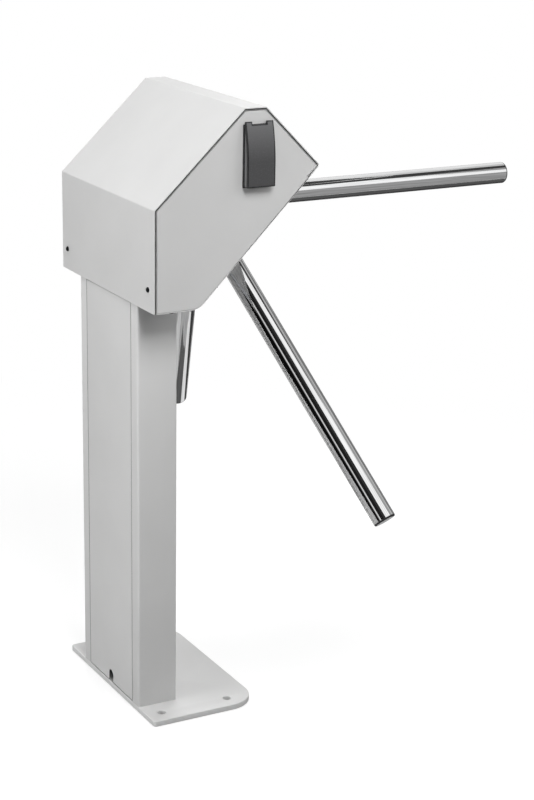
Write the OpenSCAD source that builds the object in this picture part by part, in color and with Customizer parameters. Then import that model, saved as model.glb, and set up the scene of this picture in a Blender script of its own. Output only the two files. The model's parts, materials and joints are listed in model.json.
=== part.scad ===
// Tripod turnstile: a floor plate and a post carry a folded sheet head, whose tilted rotor swings
// three arms. The origin is the middle of the floor anchor pattern, on the floor; +X points along the
// level arm, +Y along the wall of the passage, +Z up.

/* [Overall] */
// Height from the floor to the flat top of the hood
overall_h = 1040; // [1010:5:1090]
// Height of the head above its floor
head_h = 318; // [314:1:326]
// Width of the head over both cheeks
head_w = 366; // [362:2:400]
// Depth below the flat top at which the axes of the three arms meet
hub_drop = 180.9; // [177:0.1:184]

/* [Base plate] */
// Size of the base plate away from the wall
plate_l = 201; // [196:1:230]
// Size of the base plate along the passage
plate_w = 355; // [340:5:400]
// Thickness of the base plate
plate_t = 10; // [6:1:15]
// Corner radius at the passage side
plate_front_r = 50; // [20:2:60]
// Corner radius at the post side
plate_rear_r = 6; // [2:1:12]
// Diameter of the four anchor holes
anchor_hole_d = 14; // [9:1:18]
// Spacing of the anchor holes along X
anchor_pitch_x = 125; // [110:1:130]
// Spacing of the anchor holes along Y
anchor_pitch_y = 298; // [280:2:310]
// Distance from the rear anchor holes to the rear edge
plate_rear_margin = 27.5; // [20:0.5:35]
// Diameter of the cable holes inside the post
cable_hole_d = 36; // [20:2:40]

/* [Post] */
// Width of the post
post_w = 230; // [220:2:250]
// Depth of the post
post_d = 72; // [68:1:90]
// Wall of the post
post_t = 2.5; // [1.5:0.5:4]
// Outer bend radius of the post
post_bend_r = 4; // [3:0.5:8]
// Width of the post's lips on both sides of the rear cover
lip_w = 25.3; // [23.3:0.1:33.3]
// Thickness of the rear cover
cover_t = 2; // [1:0.5:3]
// Groove between the cover and the post's lips
cover_groove = 1.7; // [1:0.1:3]
// Depth of the cover's folded sides
cover_fold = 12; // [6:1:20]
// Gap under the cover
cover_bottom_gap = 2.5; // [1:0.5:6]
// Width of the cable notch in the cover
cable_notch_w = 18; // [12:1:30]
// Height of the cable notch above the base plate
cable_notch_h = 23; // [18:1:40]
// Thickness of the plate in the post's top
post_top_t = 6; // [4:1:10]

/* [Head shell] */
// Height of the hood's rear face
head_rear_h = 167; // [160:1:175]
// Run of the hood's long upper slope along X
upper_run = 158; // [154:1:164]
// Length of the flat top along X
top_flat_l = 39; // [36:1:44]
// Drop from the flat top to the nose
nose_drop = 100; // [96:1:104]
// How far the hood's rear face stands behind the post
hood_rear_out = 2.5; // [2.2:0.1:4]
// Thickness of the hood
hood_t = 2; // [1.5:0.1:2.2]
// Seam between the hood and the cheeks
hood_seam = 1.6; // [1.2:0.1:2]
// Bend radius of the hood's folds
hood_bend_r = 4; // [3:0.5:7]
// Outer radius of the nose
nose_r = 6; // [5.5:0.5:10]
// Length of the hood's lip behind the nose
hood_lip_l = 26; // [22:1:30]
// Thickness of the cheeks
cheek_t = 2; // [1.5:0.1:2.5]
// Width of the cheeks' folded flanges
cheek_flange = 14; // [13:1:18]
// Corner radius of the cheeks' low front corner
low_front_r = 30; // [24:1:36]
// Thickness of the inclined face plate and of the chassis floor
chassis_t = 3; // [2:0.5:4]
// Height of the chassis floor's rear upstand
upstand_h = 52; // [46:1:60]
// Distance of the hood screws from the cheeks' outer faces
hood_screw_in = 22; // [22:1:26]
// Height of the hood screws above the head's floor
hood_screw_up = 36; // [30:1:40]

/* [Indicators] */
// Width of the indicator lens
lens_w = 50; // [44:1:52]
// Height of the indicator lens
lens_h = 104; // [98:1:108]
// How far the lens's lower part stands out
lens_proud = 14.8; // [12:0.1:18]
// How far the lens's top edge stands out
lens_top_proud = 4.6; // [4.4:0.1:6]
// Straight lower part of the lens
lens_flat_h = 35; // [25:1:45]
// Wall of the lens
lens_t = 2.4; // [1.5:0.1:3]
// Visible rim of the bezel round the lens
bezel_rim = 1.6; // [1.4:0.1:3]
// How far the bezel stands out
bezel_proud = 2.4; // [1.2:0.1:2.8]
// How far the lens rises over the bezel's top edge
lens_overhang = 4.5; // [3:0.5:6]
// Width of the snap notch in the lens's top edge
lens_notch_w = 26; // [16:1:30]
// Height of the snap notch
lens_notch_h = 5; // [4:0.5:8]
// Distance from the head's rear face to the lens's middle
lens_mid_in = 181.5; // [178:0.5:184]
// Distance from the flat top down to the lens's top edge
lens_top_down = 21.5; // [20:0.5:24]
// Depth behind the cheek's outer face at which the light board stands
light_board_in = 7; // [6:0.5:9]

/* [Rotor and arms] */
// Number of arms
arm_count = 3; // [3:1:3]
// Outer diameter of the arm tubes
arm_d = 38; // [34:1:39]
// Wall of the arm tubes
arm_wall = 2; // [1.5:0.5:4]
// Distance from the arms' meeting point to an arm's tip
arm_reach = 626; // [480:1:640]
// Distance from the meeting point to the bottom of an arm socket
socket_from = 39; // [38:0.5:42]
// Distance from the meeting point to the hub's conical seat
socket_to = 72; // [68:1:76]
// Distance from the meeting point to the cheeks' inclined edge
hub_depth = 38.4; // [37:0.1:41]
// Radius of the hub's round side
hub_r = 68; // [66:1:70]
// Distance from the meeting point to the hub's back face
hub_back = 10; // [9:0.5:11]
// Distance from the meeting point to the hub's front face
hub_front = 74; // [72:1:78]
// Thickness of the arms' end caps
arm_cap_t = 3; // [2:0.5:5]
// Height of the domed nose cap
nose_cap_h = 10; // [6:1:14]

/* [Mechanism plate] */
// Distance from the arms' meeting point back to the mechanism plate
mech_setback = 4; // [3:0.5:5]
// Thickness of the mechanism plate
mech_plate_t = 8; // [6:1:9]
// Length of the mechanism plate along the slope
mech_plate_l = 224; // [218:2:232]
// Width of the mechanism plate
mech_plate_w = 320; // [312:2:324]
// Thickness of the side brackets
side_bracket_t = 4; // [3:0.5:5]
// Depth of the side brackets along the cheeks
side_bracket_d = 40; // [30:2:44]
// Length of the side brackets along the slope
side_bracket_l = 128; // [120:2:132]
// Diameter of the large bolts
bolt_d = 8; // [6:1:9]
// Diameter of the small screws
screw_d = 5; // [4:0.5:6]

/* [Bearings] */
// Bore of the ball bearings, which is the shaft's diameter
bearing_d = 25; // [24:1:25]
// Outer diameter of the ball bearings
bearing_od = 52; // [50:1:54]
// Width of the ball bearings
bearing_b = 15; // [14:1:16]
// Diameter of the balls
ball_d = 7.9; // [7:0.1:8]
// Balls in each bearing
ball_count = 9; // [7:1:10]
// Outer diameter of the bearing housing
housing_d = 72; // [66:1:74]
// Length of the bearing housing behind the mechanism plate
housing_l = 60; // [56:1:62]
// Thickness of the housing's flange
housing_flange_t = 10; // [8:1:12]

/* [Gears] */
// Tooth size of the gears, pitch diameter over tooth count
gear_module = 2; // [1.9:0.05:2.05]
// Teeth of the large gear
gear_teeth = 48; // [48:3:48]
// Teeth of each pinion
pinion_teeth = 16; // [16:1:16]
// Width of the gears
gear_b = 10; // [8:1:11]
// Thinning of each tooth flank at the pitch circle
gear_play = 0.12; // [0.05:0.01:0.2]

/* [Lock] */
// Diameter of the lock wheel
wheel_d = 104; // [102:1:106]
// Thickness of the lock wheel and of the pawls
wheel_t = 8; // [6:1:9]
// Notches of the lock wheel
notch_count = 12; // [12:1:12]
// Depth of the notches
notch_depth = 6; // [5:0.5:7]
// Width of the notches
notch_w = 10.5; // [10:0.5:12]
// Width of a pawl's tooth
tooth_w = 7.5; // [6:0.5:8]
// Distance between a pawl's pivot and its tooth along the wheel's rim
pawl_l = 44; // [42:1:46]
// Distance between a pawl's pivot and its tail pin
tail_l = 30; // [28:1:32]
// Side of the square solenoids
solenoid_s = 30; // [26:1:32]
// Length of the solenoids
solenoid_l = 50; // [44:1:54]

/* [Centring and damping] */
// Diameter of the crank and damper shafts
crank_shaft_d = 12; // [10:1:12]
// Throw of the centring crank
crank_throw = 16; // [12:1:17]
// Radius of the crank disc
crank_disc_r = 22; // [21:0.5:23]
// Diameter of the centring spring
spring_d = 14; // [10:1:14]
// Diameter of the rotary damper
damper_d = 50; // [44:1:52]
// Radius of the slotted disc that the sensors read
encoder_r = 38; // [36:1:39]
// Slots of the disc
encoder_slots = 18; // [12:1:24]

/* [Electrics] */
// Size of the control board along X
board_l = 52; // [46:1:53]
// Size of the control board along Y
board_w = 108; // [90:2:112]
// Height of the power supply
supply_h = 34; // [28:1:36]

/* [Clearances] */
// Gap between loosely fitted pieces
gap = 0.3; // [0.2:0.05:0.4]
// Radial running clearance of shafts and pins
run_fit = 0.05; // [0.03:0.01:0.08]
// Radial gap round a fastener in its hole
hole_gap = 0.2; // [0.1:0.05:0.3]

/* [Hidden] */
$fn = 64;

// Overrun of every cut past the surface it opens
over = 1;
// Segments of a rounded corner in an outline
corner_steps = 10;
// Angle between each arm and the rotor's axis, and of that axis below the level
cone_angle = 45;

// Colours of the finishes
paint = [0.80, 0.80, 0.80];
zinc = [0.62, 0.63, 0.65];
steel = [0.50, 0.51, 0.53];
chrome = [0.86, 0.87, 0.88];
cast = [0.70, 0.71, 0.72];
black = [0.09, 0.09, 0.10];
smoke = [0.28, 0.28, 0.29];
copper = [0.66, 0.38, 0.20];
bronze = [0.66, 0.50, 0.26];
board_green = [0.10, 0.32, 0.18];

// Places along the post and the head, in the X and Z of the whole object
post_rear_x = -anchor_pitch_x / 2 - plate_rear_margin;
post_front_x = post_rear_x + post_d;
post_mid_x = post_rear_x + post_d / 2;
cover_w = post_w - 2 * (lip_w + cover_groove);
head_rear_x = post_rear_x - hood_rear_out;
head_floor_z = overall_h - head_h;
half_w = head_w / 2;
nose_z = overall_h - nose_drop;
top_front_x = head_rear_x + upper_run + top_flat_l;
nose_x = top_front_x + nose_drop / tan(cone_angle);
low_front_x = nose_x - (nose_z - head_floor_z) * tan(cone_angle);
hub_z = overall_h - hub_drop;
hub_x = nose_x - (nose_z - hub_z) * tan(cone_angle) - hub_depth / cos(cone_angle);

// Outline of the head in X and Z, round from the foot of its rear face
head_points = [
  [head_rear_x, head_floor_z],
  [head_rear_x, head_floor_z + head_rear_h],
  [head_rear_x + upper_run, overall_h],
  [top_front_x, overall_h],
  [nose_x, nose_z],
  [low_front_x, head_floor_z]];

function unit(v) = v / norm(v);
function inward(v) = [v.y, -v.x];
function line_cross(a, u, b, v) =
  a + u * ((b.x - a.x) * v.y - (b.y - a.y) * v.x) / (u.x * v.y - u.y * v.x);

// Outline whose edges lie deeper inside a clockwise one, edge by edge
function inset(points, depths) = let (n = len(points)) [for (i = [0 : n - 1])
  let (h = (i + n - 1) % n,
       before = unit(points[i] - points[h]),
       after = unit(points[(i + 1) % n] - points[i]))
  line_cross(points[i] + depths[h] * inward(before), before,
             points[i] + depths[i] * inward(after), after)];

function short_turn(a) = a > 180 ? a - 360 : a < -180 ? a + 360 : a;

// Arc that replaces one corner of an outline
function corner_arc(before, at, after, r) = r <= 0 ? [at] : let (
  u = unit(before - at),
  v = unit(after - at),
  half = acos(u * v) / 2,
  centre = at + unit(u + v) * r / sin(half),
  from = at + u * r / tan(half) - centre,
  to = at + v * r / tan(half) - centre,
  start = atan2(from.y, from.x),
  sweep = short_turn(atan2(to.y, to.x) - start))
  [for (i = [0 : corner_steps])
    centre + r * [cos(start + sweep * i / corner_steps), sin(start + sweep * i / corner_steps)]];

function rounded(points, radii) = let (n = len(points)) [for (i = [0 : n - 1])
  each corner_arc(points[(i + n - 1) % n], points[i], points[(i + 1) % n], radii[i])];

// The inclined edge of the head, from the nose down
slope_dir = unit(head_points[5] - head_points[4]);
slope_in = inward(slope_dir);
cheek_set = hood_t + hood_seam;
lip_end = head_points[4] + slope_dir * hood_lip_l;
notch_end = lip_end + slope_dir * hood_seam;

// Outline of a cheek, which steps inside the hood and its lip
cheek_inner = inset(head_points, [cheek_set, cheek_set, cheek_set, cheek_set, cheek_set, 0]);
cheek_low = inset(head_points, [cheek_set, cheek_set, cheek_set, cheek_set, 0, 0]);
cheek_points = [cheek_inner[0], cheek_inner[1], cheek_inner[2], cheek_inner[3], cheek_inner[4],
  notch_end + slope_in * cheek_set, notch_end, cheek_low[5]];
cheek_radii = [cheek_t, hood_bend_r, hood_bend_r, hood_bend_r, nose_r - cheek_set, 0, 0, low_front_r];
cheek_inside = inset(cheek_points, [for (i = [0 : 7]) cheek_t]);
cheek_inside_radii = [for (r = cheek_radii) max(0, r - cheek_t)];

// Places along the rotor's axis, measured from the arms' meeting point and positive outwards
mech_front = -mech_setback;
mech_rear = mech_front - mech_plate_t;
housing_end = mech_rear - housing_l;
// Distance of each bearing from its end of the housing
race_setback = 4;
rear_recess = 6;
front_race = mech_rear - race_setback - bearing_b;
rear_race = housing_end + rear_recess;
// Running gaps between the turning wheels
wheel_gap = 2;
gear_gap = 4;
wheel_low = housing_end - wheel_gap - wheel_t;
gear_low = wheel_low - gear_gap - gear_b;
// Slotted disc: boss length and thickness
encoder_boss_l = 7.5;
encoder_t = 1.5;
encoder_low = gear_low - encoder_boss_l - encoder_t;
shaft_nut_t = 8;
shaft_proud = 1.5;
shaft_end = encoder_low - shaft_nut_t - shaft_proud;
// Crank disc behind the pinion
crank_boss_l = 6;
crank_disc_t = 6;
crank_low = gear_low - crank_boss_l - crank_disc_t;
spring_standoff = 9;
spring_level = crank_low - spring_standoff;
face_out = hub_depth - cheek_t;
gear_centres = gear_module * (gear_teeth + pinion_teeth) / 2;

// Pieces of the shaft
shaft_r = bearing_d / 2;
shoulder_r = 16;
flange_r = 30;
flange_t = 8;
spigot_l = 14;
key_w = 8;
key_out = 3;
key_in = 4;
hub_bolt_d = 12;
hub_bolt_l = 80;

// A solid between two corners
module block(low, high) translate(low) cube(high - low);
module rod(r, from, to) translate([0, 0, from]) cylinder(r = r, h = to - from);
module tube(r, bore, from, to) difference() {
  rod(r, from, to);
  rod(bore, from - over, to + over);
}
module at(x, y) translate([x, y, 0]) children();
// Outline in X and Z, carried along Y
module across(from, to) translate([0, to, 0]) rotate([90, 0, 0])
  linear_extrude(height = to - from) children();
// Outline in Y and Z, carried along X
module along_x(from, to) translate([from, 0, 0]) rotate([90, 0, 90])
  linear_extrude(height = to - from) children();
module both_sides() { children(); mirror([0, 1, 0]) children(); }
// Frame of the rotor: local X runs down the slope, local Z out along the axis
module at_hub() translate([hub_x, 0, hub_z]) rotate([0, 90 + cone_angle, 0]) children();
module at_arm(k) rotate([0, 0, 180 + k * 360 / arm_count]) rotate([0, cone_angle, 0]) children();
// Hexagonal bolt: its head lies over the level, its shank below it
module hex_bolt(d, grip, level) {
  translate([0, 0, level]) cylinder(r = d * hex_share, h = d * head_share, $fn = 6);
  rod(d / 2, level - grip, level);
}
// Round-headed screw
module pan_screw(d, grip, level) {
  difference() {
    rod(d * pan_share, level, level + d * pan_h_share);
    rod(d * socket_share, level + d * pan_h_share / 2, level + d * pan_h_share + over);
  }
  rod(d / 2, level - grip, level);
}
// Shares of a fastener's diameter
hex_share = 0.9;
head_share = 0.65;
pan_share = 0.9;
pan_h_share = 0.55;
socket_share = 0.3;

// Base plate
module base_plate() color(paint) difference() {
  linear_extrude(height = plate_t) polygon(rounded([
    [post_rear_x, -plate_w / 2],
    [post_rear_x, plate_w / 2],
    [post_rear_x + plate_l, plate_w / 2],
    [post_rear_x + plate_l, -plate_w / 2]],
    [plate_rear_r, plate_rear_r, plate_front_r, plate_front_r]));
  for (x = [-1, 1], y = [-1, 1]) at(x * anchor_pitch_x / 2, y * anchor_pitch_y / 2)
    rod(anchor_hole_d / 2, -over, plate_t + over);
  at(post_mid_x, 0) rod(cable_hole_d / 2, -over, plate_t + over);
}

// Post: a folded channel that is open to the rear between two lips
post_top_z = head_floor_z + cheek_t;
module post() color(paint) translate([0, 0, plate_t]) linear_extrude(height = post_top_z - plate_t)
  difference() {
    polygon(rounded([
      [post_rear_x, -post_w / 2], [post_rear_x, post_w / 2],
      [post_front_x, post_w / 2], [post_front_x, -post_w / 2]],
      [for (i = [0 : 3]) post_bend_r]));
    polygon(rounded([
      [post_rear_x + post_t, -post_w / 2 + post_t], [post_rear_x + post_t, post_w / 2 - post_t],
      [post_front_x - post_t, post_w / 2 - post_t], [post_front_x - post_t, -post_w / 2 + post_t]],
      [for (i = [0 : 3]) post_bend_r - post_t]));
    translate([post_rear_x - over, -cover_w / 2 - cover_groove])
      square([post_t + 2 * over, cover_w + 2 * cover_groove]);
  }

// Bolts between the post and the head
head_bolt_pitch_x = 40;
head_bolt_pitch_y = 64;
module at_head_bolts() for (x = [-1, 1], y = [-1, 1])
  at(post_mid_x + x * head_bolt_pitch_x / 2, y * head_bolt_pitch_y / 2) children();
module post_top_plate() color(zinc) difference() {
  block([post_rear_x + post_t + gap, -post_w / 2 + post_t + gap, post_top_z - post_top_t],
        [post_front_x - post_t - gap, post_w / 2 - post_t - gap, post_top_z]);
  for (x = [post_rear_x + post_t + gap, post_front_x - post_t - gap])
    for (y = [-1, 1]) translate([x, y * (post_w / 2 - post_t - gap), 0]) rotate(45)
      block([-post_bend_r / 2, -post_bend_r / 2, post_top_z - post_top_t - over],
            [post_bend_r / 2, post_bend_r / 2, post_top_z + over]);
  block([post_rear_x, -cover_w / 2 - cover_groove, post_top_z - post_top_t - over],
        [post_rear_x + cover_fold + 2 * gap, cover_w / 2 + cover_groove, post_top_z + over]);
  at(post_mid_x, 0) rod(cable_hole_d / 2, post_top_z - post_top_t - over, post_top_z + over);
  at_head_bolts() rod(bolt_d / 2 + hole_gap, post_top_z - post_top_t - over, post_top_z + over);
}

// Rear cover with folded sides and a cable notch
cover_low_z = plate_t + cover_bottom_gap;
cover_high_z = head_floor_z - cover_t;
module post_cover() color(paint) difference() {
  block([post_rear_x, -cover_w / 2, cover_low_z], [post_rear_x + cover_fold, cover_w / 2, cover_high_z]);
  block([post_rear_x + cover_t, -cover_w / 2 + cover_t, cover_low_z - over],
        [post_rear_x + cover_fold + over, cover_w / 2 - cover_t, cover_high_z + over]);
  block([post_rear_x - over, -cable_notch_w / 2, cover_low_z - over],
        [post_rear_x + cover_t + over, cable_notch_w / 2, plate_t + cable_notch_h - cable_notch_w / 2]);
  translate([post_rear_x, 0, plate_t + cable_notch_h - cable_notch_w / 2]) rotate([0, 90, 0])
    rod(cable_notch_w / 2, -over, cover_t + over);
}
// Spring clips that hold the cover behind the post's lips
clip_h = 30;
clip_reach_share = 0.45;
clip_reach = clip_reach_share * (lip_w + cover_groove - post_t);
clip_t = 1.5;
clip_place_shares = [0.12, 0.88];
module cover_clips() color(zinc) both_sides() for (s = clip_place_shares)
  translate([0, 0, cover_low_z + s * (cover_high_z - cover_low_z) - clip_h / 2]) {
    block([post_rear_x + post_t, cover_w / 2, 0],
          [post_rear_x + post_t + clip_t, cover_w / 2 + clip_reach, clip_h]);
    block([post_rear_x + post_t, cover_w / 2, 0],
          [post_rear_x + cover_fold, cover_w / 2 + clip_t, clip_h]);
  }

// Earth stud on the base plate inside the post
stud_h = 28;
stud_place_share = 0.62;
stud_washer_t = 1.5;
module earth_stud() color(bronze) translate([post_mid_x, -stud_place_share * post_w / 2, plate_t]) {
  rod(bolt_d / 2, 0, stud_h);
  rod(bolt_d, 0, stud_washer_t);
  translate([0, 0, stud_washer_t]) cylinder(r = bolt_d * hex_share, h = bolt_d * head_share, $fn = 6);
  translate([0, 0, stud_h - bolt_d]) cylinder(r = bolt_d * hex_share, h = bolt_d * head_share, $fn = 6);
}

// Chassis floor: bottom sheet of the head, folded up behind the hood and along the slope
chassis_outer = inset(head_points,
  [cheek_set + cheek_t, cheek_set + cheek_t, cheek_set, cheek_set, cheek_t, cheek_t]);
chassis_inner = inset(head_points, [for (d = [cheek_set, cheek_set, cheek_set, cheek_set, 0, 0])
  d + cheek_t + chassis_t]);
floor_lip_l = 44;
floor_top_z = head_floor_z + cheek_t + chassis_t;
floor_lip_end = chassis_outer[5] - slope_dir * floor_lip_l;
shell_side_gap = cheek_t + gap;
module chassis_floor() color(zinc) difference() {
  across(-half_w + shell_side_gap, half_w - shell_side_gap) polygon(rounded([
    chassis_outer[0],
    [chassis_outer[0].x, head_floor_z + upstand_h],
    [chassis_inner[0].x, head_floor_z + upstand_h],
    chassis_inner[0],
    chassis_inner[5],
    floor_lip_end + slope_in * chassis_t,
    floor_lip_end,
    chassis_outer[5]],
    [chassis_t, 0, 0, 0, max(0, low_front_r - cheek_t - chassis_t), 0, 0, low_front_r - cheek_t]));
  at(post_mid_x, 0) rod(cable_hole_d / 2, head_floor_z, floor_top_z + over);
  at_head_bolts() rod(bolt_d / 2 + hole_gap, head_floor_z, floor_top_z + over);
  at_floor_screws() rod(screw_d / 2 + hole_gap, head_floor_z, floor_top_z + over);
  at_hood_screws() rod(bush_r + gap, -over, cheek_set + cheek_t + chassis_t + 2 * over);
}
module head_bolts() color(zinc) at_head_bolts() {
  hex_bolt(bolt_d, chassis_t + post_top_t + bolt_d, floor_top_z);
  difference() {
    translate([0, 0, post_top_z - post_top_t - bolt_d * head_share])
      cylinder(r = bolt_d * hex_share, h = bolt_d * head_share, $fn = 6);
    rod(bolt_d / 2, head_floor_z - post_top_t - 2 * bolt_d, post_top_z);
  }
}

// Screws of the head's sheet pieces
floor_screw_place_shares = [0.42, 0.88];
slope_screw_place_shares = [-0.44, 0.04, 0.42];
screw_line = half_w - cheek_flange / 2;
module at_floor_screws() for (y = [-1, 1], s = floor_screw_place_shares)
  at(head_rear_x + s * (low_front_x - head_rear_x), y * screw_line) children();
module at_slope_screws() at_hub() for (y = [-1, 1], s = slope_screw_place_shares)
  at(s * face_plate_l, y * screw_line) children();
module shell_screws() color(black) {
  at_slope_screws() pan_screw(screw_d, cheek_t + chassis_t + over, hub_depth);
  at_floor_screws() translate([0, 0, head_floor_z]) mirror([0, 0, 1])
    pan_screw(screw_d, cheek_t + chassis_t + over, 0);
}

// Cheeks: trays folded from one sheet each, with a window for the indicator
module cheek() difference() {
  across(half_w - cheek_flange, half_w) polygon(rounded(cheek_points, cheek_radii));
  across(half_w - cheek_flange - over, half_w - cheek_t)
    polygon(rounded(cheek_inside, cheek_inside_radii));
  across(half_w - cheek_t - over, half_w + over)
    translate([lens_mid_x - window_w / 2, lens_low_z - window_rim]) square([window_w, window_h]);
  at_hub() block([-nose_reach, half_w - cheek_flange - over, face_out - chassis_t - gap],
                 [hood_lip_l + hood_seam + cheek_t - nose_reach, half_w - cheek_t, face_out]);
  at_slope_screws() rod(screw_d / 2 + hole_gap, face_out - over, hub_depth + over);
  at_floor_screws() rod(screw_d / 2 + hole_gap, head_floor_z - over, head_floor_z + cheek_t + over);
  translate([0, half_w - hood_screw_in, 0]) at_hood_level() rod(bush_r + gap, 0, cheek_set + 2 * cheek_t);
}
module left_cheek() color(paint) cheek();
module right_cheek() color(paint) mirror([0, 1, 0]) cheek();

// Inclined face plate with the rotor's opening
hub_opening_gap = 3;
face_top_gap = nose_r + gap;
nose_reach = (nose_x - hub_x) * sin(cone_angle) + (nose_z - hub_z) * cos(cone_angle);
face_plate_top = nose_reach - face_top_gap;
face_plate_low = (hub_z - floor_lip_end.y) * cos(cone_angle) + (hub_x - floor_lip_end.x) * sin(cone_angle)
  - gap;
face_plate_l = face_plate_top + face_plate_low;
module face_plate() color(paint) difference() {
  at_hub() difference() {
    block([-face_plate_top, -half_w + shell_side_gap, face_out - chassis_t],
          [face_plate_low, half_w - shell_side_gap, face_out]);
    rod(hub_r + hub_opening_gap, face_out - chassis_t - over, face_out + over);
  }
  at_slope_screws() rod(screw_d / 2 + hole_gap, face_out - chassis_t - over, face_out + over);
}

// Hood: one bent sheet from the rear foot over the top and round the nose
hood_inner = inset(head_points, [hood_t, hood_t, hood_t, hood_t, hood_t, 0]);
bend_in_r = hood_bend_r - hood_t;
module at_hood_level() translate([head_rear_x, 0, head_floor_z + hood_screw_up]) rotate([0, 90, 0])
  children();
module at_hood_screws() for (y = [-1, 1]) translate([0, y * (half_w - hood_screw_in), 0])
  at_hood_level() children();
module hood() color(paint) difference() {
  across(-half_w, half_w) polygon(rounded([
    head_points[0], head_points[1], head_points[2], head_points[3], head_points[4], lip_end,
    lip_end + slope_in * hood_t,
    hood_inner[4], hood_inner[3], hood_inner[2], hood_inner[1], hood_inner[0]],
    [0, hood_bend_r, hood_bend_r, hood_bend_r, nose_r, 0, 0,
     nose_r - hood_t, bend_in_r, bend_in_r, bend_in_r, 0]));
  at_hood_screws() rod(screw_d / 2 + hole_gap, -over, hood_t + over);
}
bush_r = 6;
bush_flange_r = 8;
bush_l = 14;
module hood_screws() color(black) at_hood_screws() mirror([0, 0, 1])
  pan_screw(screw_d, hood_t + bush_l - over, 0);
module hood_bushes() color(zinc) at_hood_screws() difference() {
  union() {
    rod(bush_r, hood_t, hood_t + bush_l);
    rod(bush_flange_r, cheek_set + cheek_t + chassis_t, hood_t + bush_l);
  }
  rod(screw_d / 2 + hole_gap / 2, hood_t - over, hood_t + bush_l + over);
}

// Indicators: a flat bezel, and a lens that swells downwards and overhangs the bezel's top
lens_mid_x = head_rear_x + lens_mid_in;
lens_high_z = overall_h - lens_top_down;
lens_low_z = lens_high_z - lens_h;
bezel_high_z = lens_high_z - lens_overhang;
bezel_bar_z = bezel_high_z - bezel_rim;
window_rim = 1;
window_w = lens_w + 2 * window_rim;
window_h = bezel_bar_z - lens_low_z + 2 * window_rim;
skirt_t = window_rim - gap;
lens_half_w = (lens_w - gap) / 2;
arc_steps = 14;
function proud_arc(low, high, out, top_out) = let (
  rise = high - low,
  fall = out - top_out,
  r = (rise * rise + fall * fall) / (2 * fall))
  [for (i = [0 : arc_steps]) let (z = rise * i / arc_steps) [out - r + sqrt(r * r - z * z), low + z]];
// Side of the lens in Y and Z, from a depth to its swelling face
module lens_side(from, low, high, out, top_out)
  polygon(concat([[from, high], [from, low], [out, low]],
                 proud_arc(lens_low_z + lens_flat_h, high, out, top_out)));
module bezel() difference() {
  union() {
    block([lens_mid_x - lens_w / 2 - bezel_rim, half_w, lens_low_z - bezel_rim],
          [lens_mid_x + lens_w / 2 + bezel_rim, half_w + bezel_proud, bezel_high_z]);
    block([lens_mid_x - lens_w / 2 - skirt_t, half_w - light_board_in, lens_low_z - skirt_t],
          [lens_mid_x + lens_w / 2 + skirt_t, half_w + bezel_proud / 2, bezel_bar_z + skirt_t]);
  }
  block([lens_mid_x - lens_w / 2, half_w - light_board_in - over, lens_low_z],
        [lens_mid_x + lens_w / 2, half_w + bezel_proud + over, bezel_bar_z]);
}
module lens() difference() {
  union() {
    translate([0, half_w, 0]) along_x(lens_mid_x - lens_half_w, lens_mid_x + lens_half_w)
      lens_side(bezel_proud + gap, lens_low_z + gap / 2, lens_high_z, lens_proud, lens_top_proud);
    block([lens_mid_x - lens_half_w, half_w - light_board_in, lens_low_z + gap / 2],
          [lens_mid_x + lens_half_w, half_w + bezel_proud + gap, bezel_bar_z - gap / 2]);
  }
  translate([0, half_w, 0])
    along_x(lens_mid_x - lens_half_w + lens_t, lens_mid_x + lens_half_w - lens_t)
      lens_side(-light_board_in - over, lens_low_z + lens_t, bezel_bar_z - lens_t,
                lens_proud - lens_t, lens_top_proud);
  block([lens_mid_x - lens_notch_w / 2, half_w, lens_high_z - lens_notch_h],
        [lens_mid_x + lens_notch_w / 2, half_w + lens_proud, lens_high_z + over]);
}
module indicator_bezels() color(black) both_sides() bezel();
module indicator_lenses() color(smoke) both_sides() lens();
light_board_t = 1.6;
led_r = 2.2;
led_rows = 6;
led_row_share = 0.13;
module light_boards() color(board_green) both_sides() {
  block([lens_mid_x - lens_w / 2, half_w - light_board_in - light_board_t, lens_low_z],
        [lens_mid_x + lens_w / 2, half_w - light_board_in, lens_high_z]);
  for (row = [0 : led_rows - 1], side = [-1, 1])
    translate([lens_mid_x + side * lens_w / 5, half_w - light_board_in,
               lens_low_z + lens_h * led_row_share * (row + 1)])
      rotate([-90, 0, 0]) rod(led_r, -light_board_t / 2, led_r);
}

// Mechanism plate, fixed to the cheeks by two side brackets
crank_hole_gap = 2;
crank_hole_r = crank_shaft_d / 2 + crank_hole_gap;
bracket_foot_l = 42;
bracket_foot = half_w - cheek_t - bracket_foot_l;
bracket_bolt_y = (mech_plate_w / 2 + bracket_foot) / 2;
bracket_end_gap = 4;
bracket_low = mech_plate_l / 2 - bracket_end_gap;
bracket_bolt_shares = [0.2, 0.8];
housing_bolt_x = 42;
housing_bolt_y = 26;
spigot_step = 2;
spigot_r = housing_d / 2 - spigot_step;
module at_bracket_bolts() for (y = [-1, 1], s = bracket_bolt_shares)
  at(bracket_low - s * side_bracket_l, y * bracket_bolt_y) children();
module at_housing_bolts() for (x = [-1, 1], y = [-1, 1]) at(x * housing_bolt_x, y * housing_bolt_y)
  children();
module mechanism_plate() color(zinc) at_hub() difference() {
  block([-mech_plate_l / 2, -mech_plate_w / 2, mech_rear], [mech_plate_l / 2, mech_plate_w / 2, mech_front]);
  rod(spigot_r + gap, mech_rear - over, mech_front + over);
  at_bracket_bolts() rod(bolt_d / 2 + hole_gap, mech_rear - over, mech_front + over);
  at_housing_bolts() rod(bolt_d / 2 + hole_gap, mech_rear - over, mech_front + over);
  at(0, gear_centres) rod(crank_hole_r, mech_rear - over, mech_front + over);
}
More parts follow.
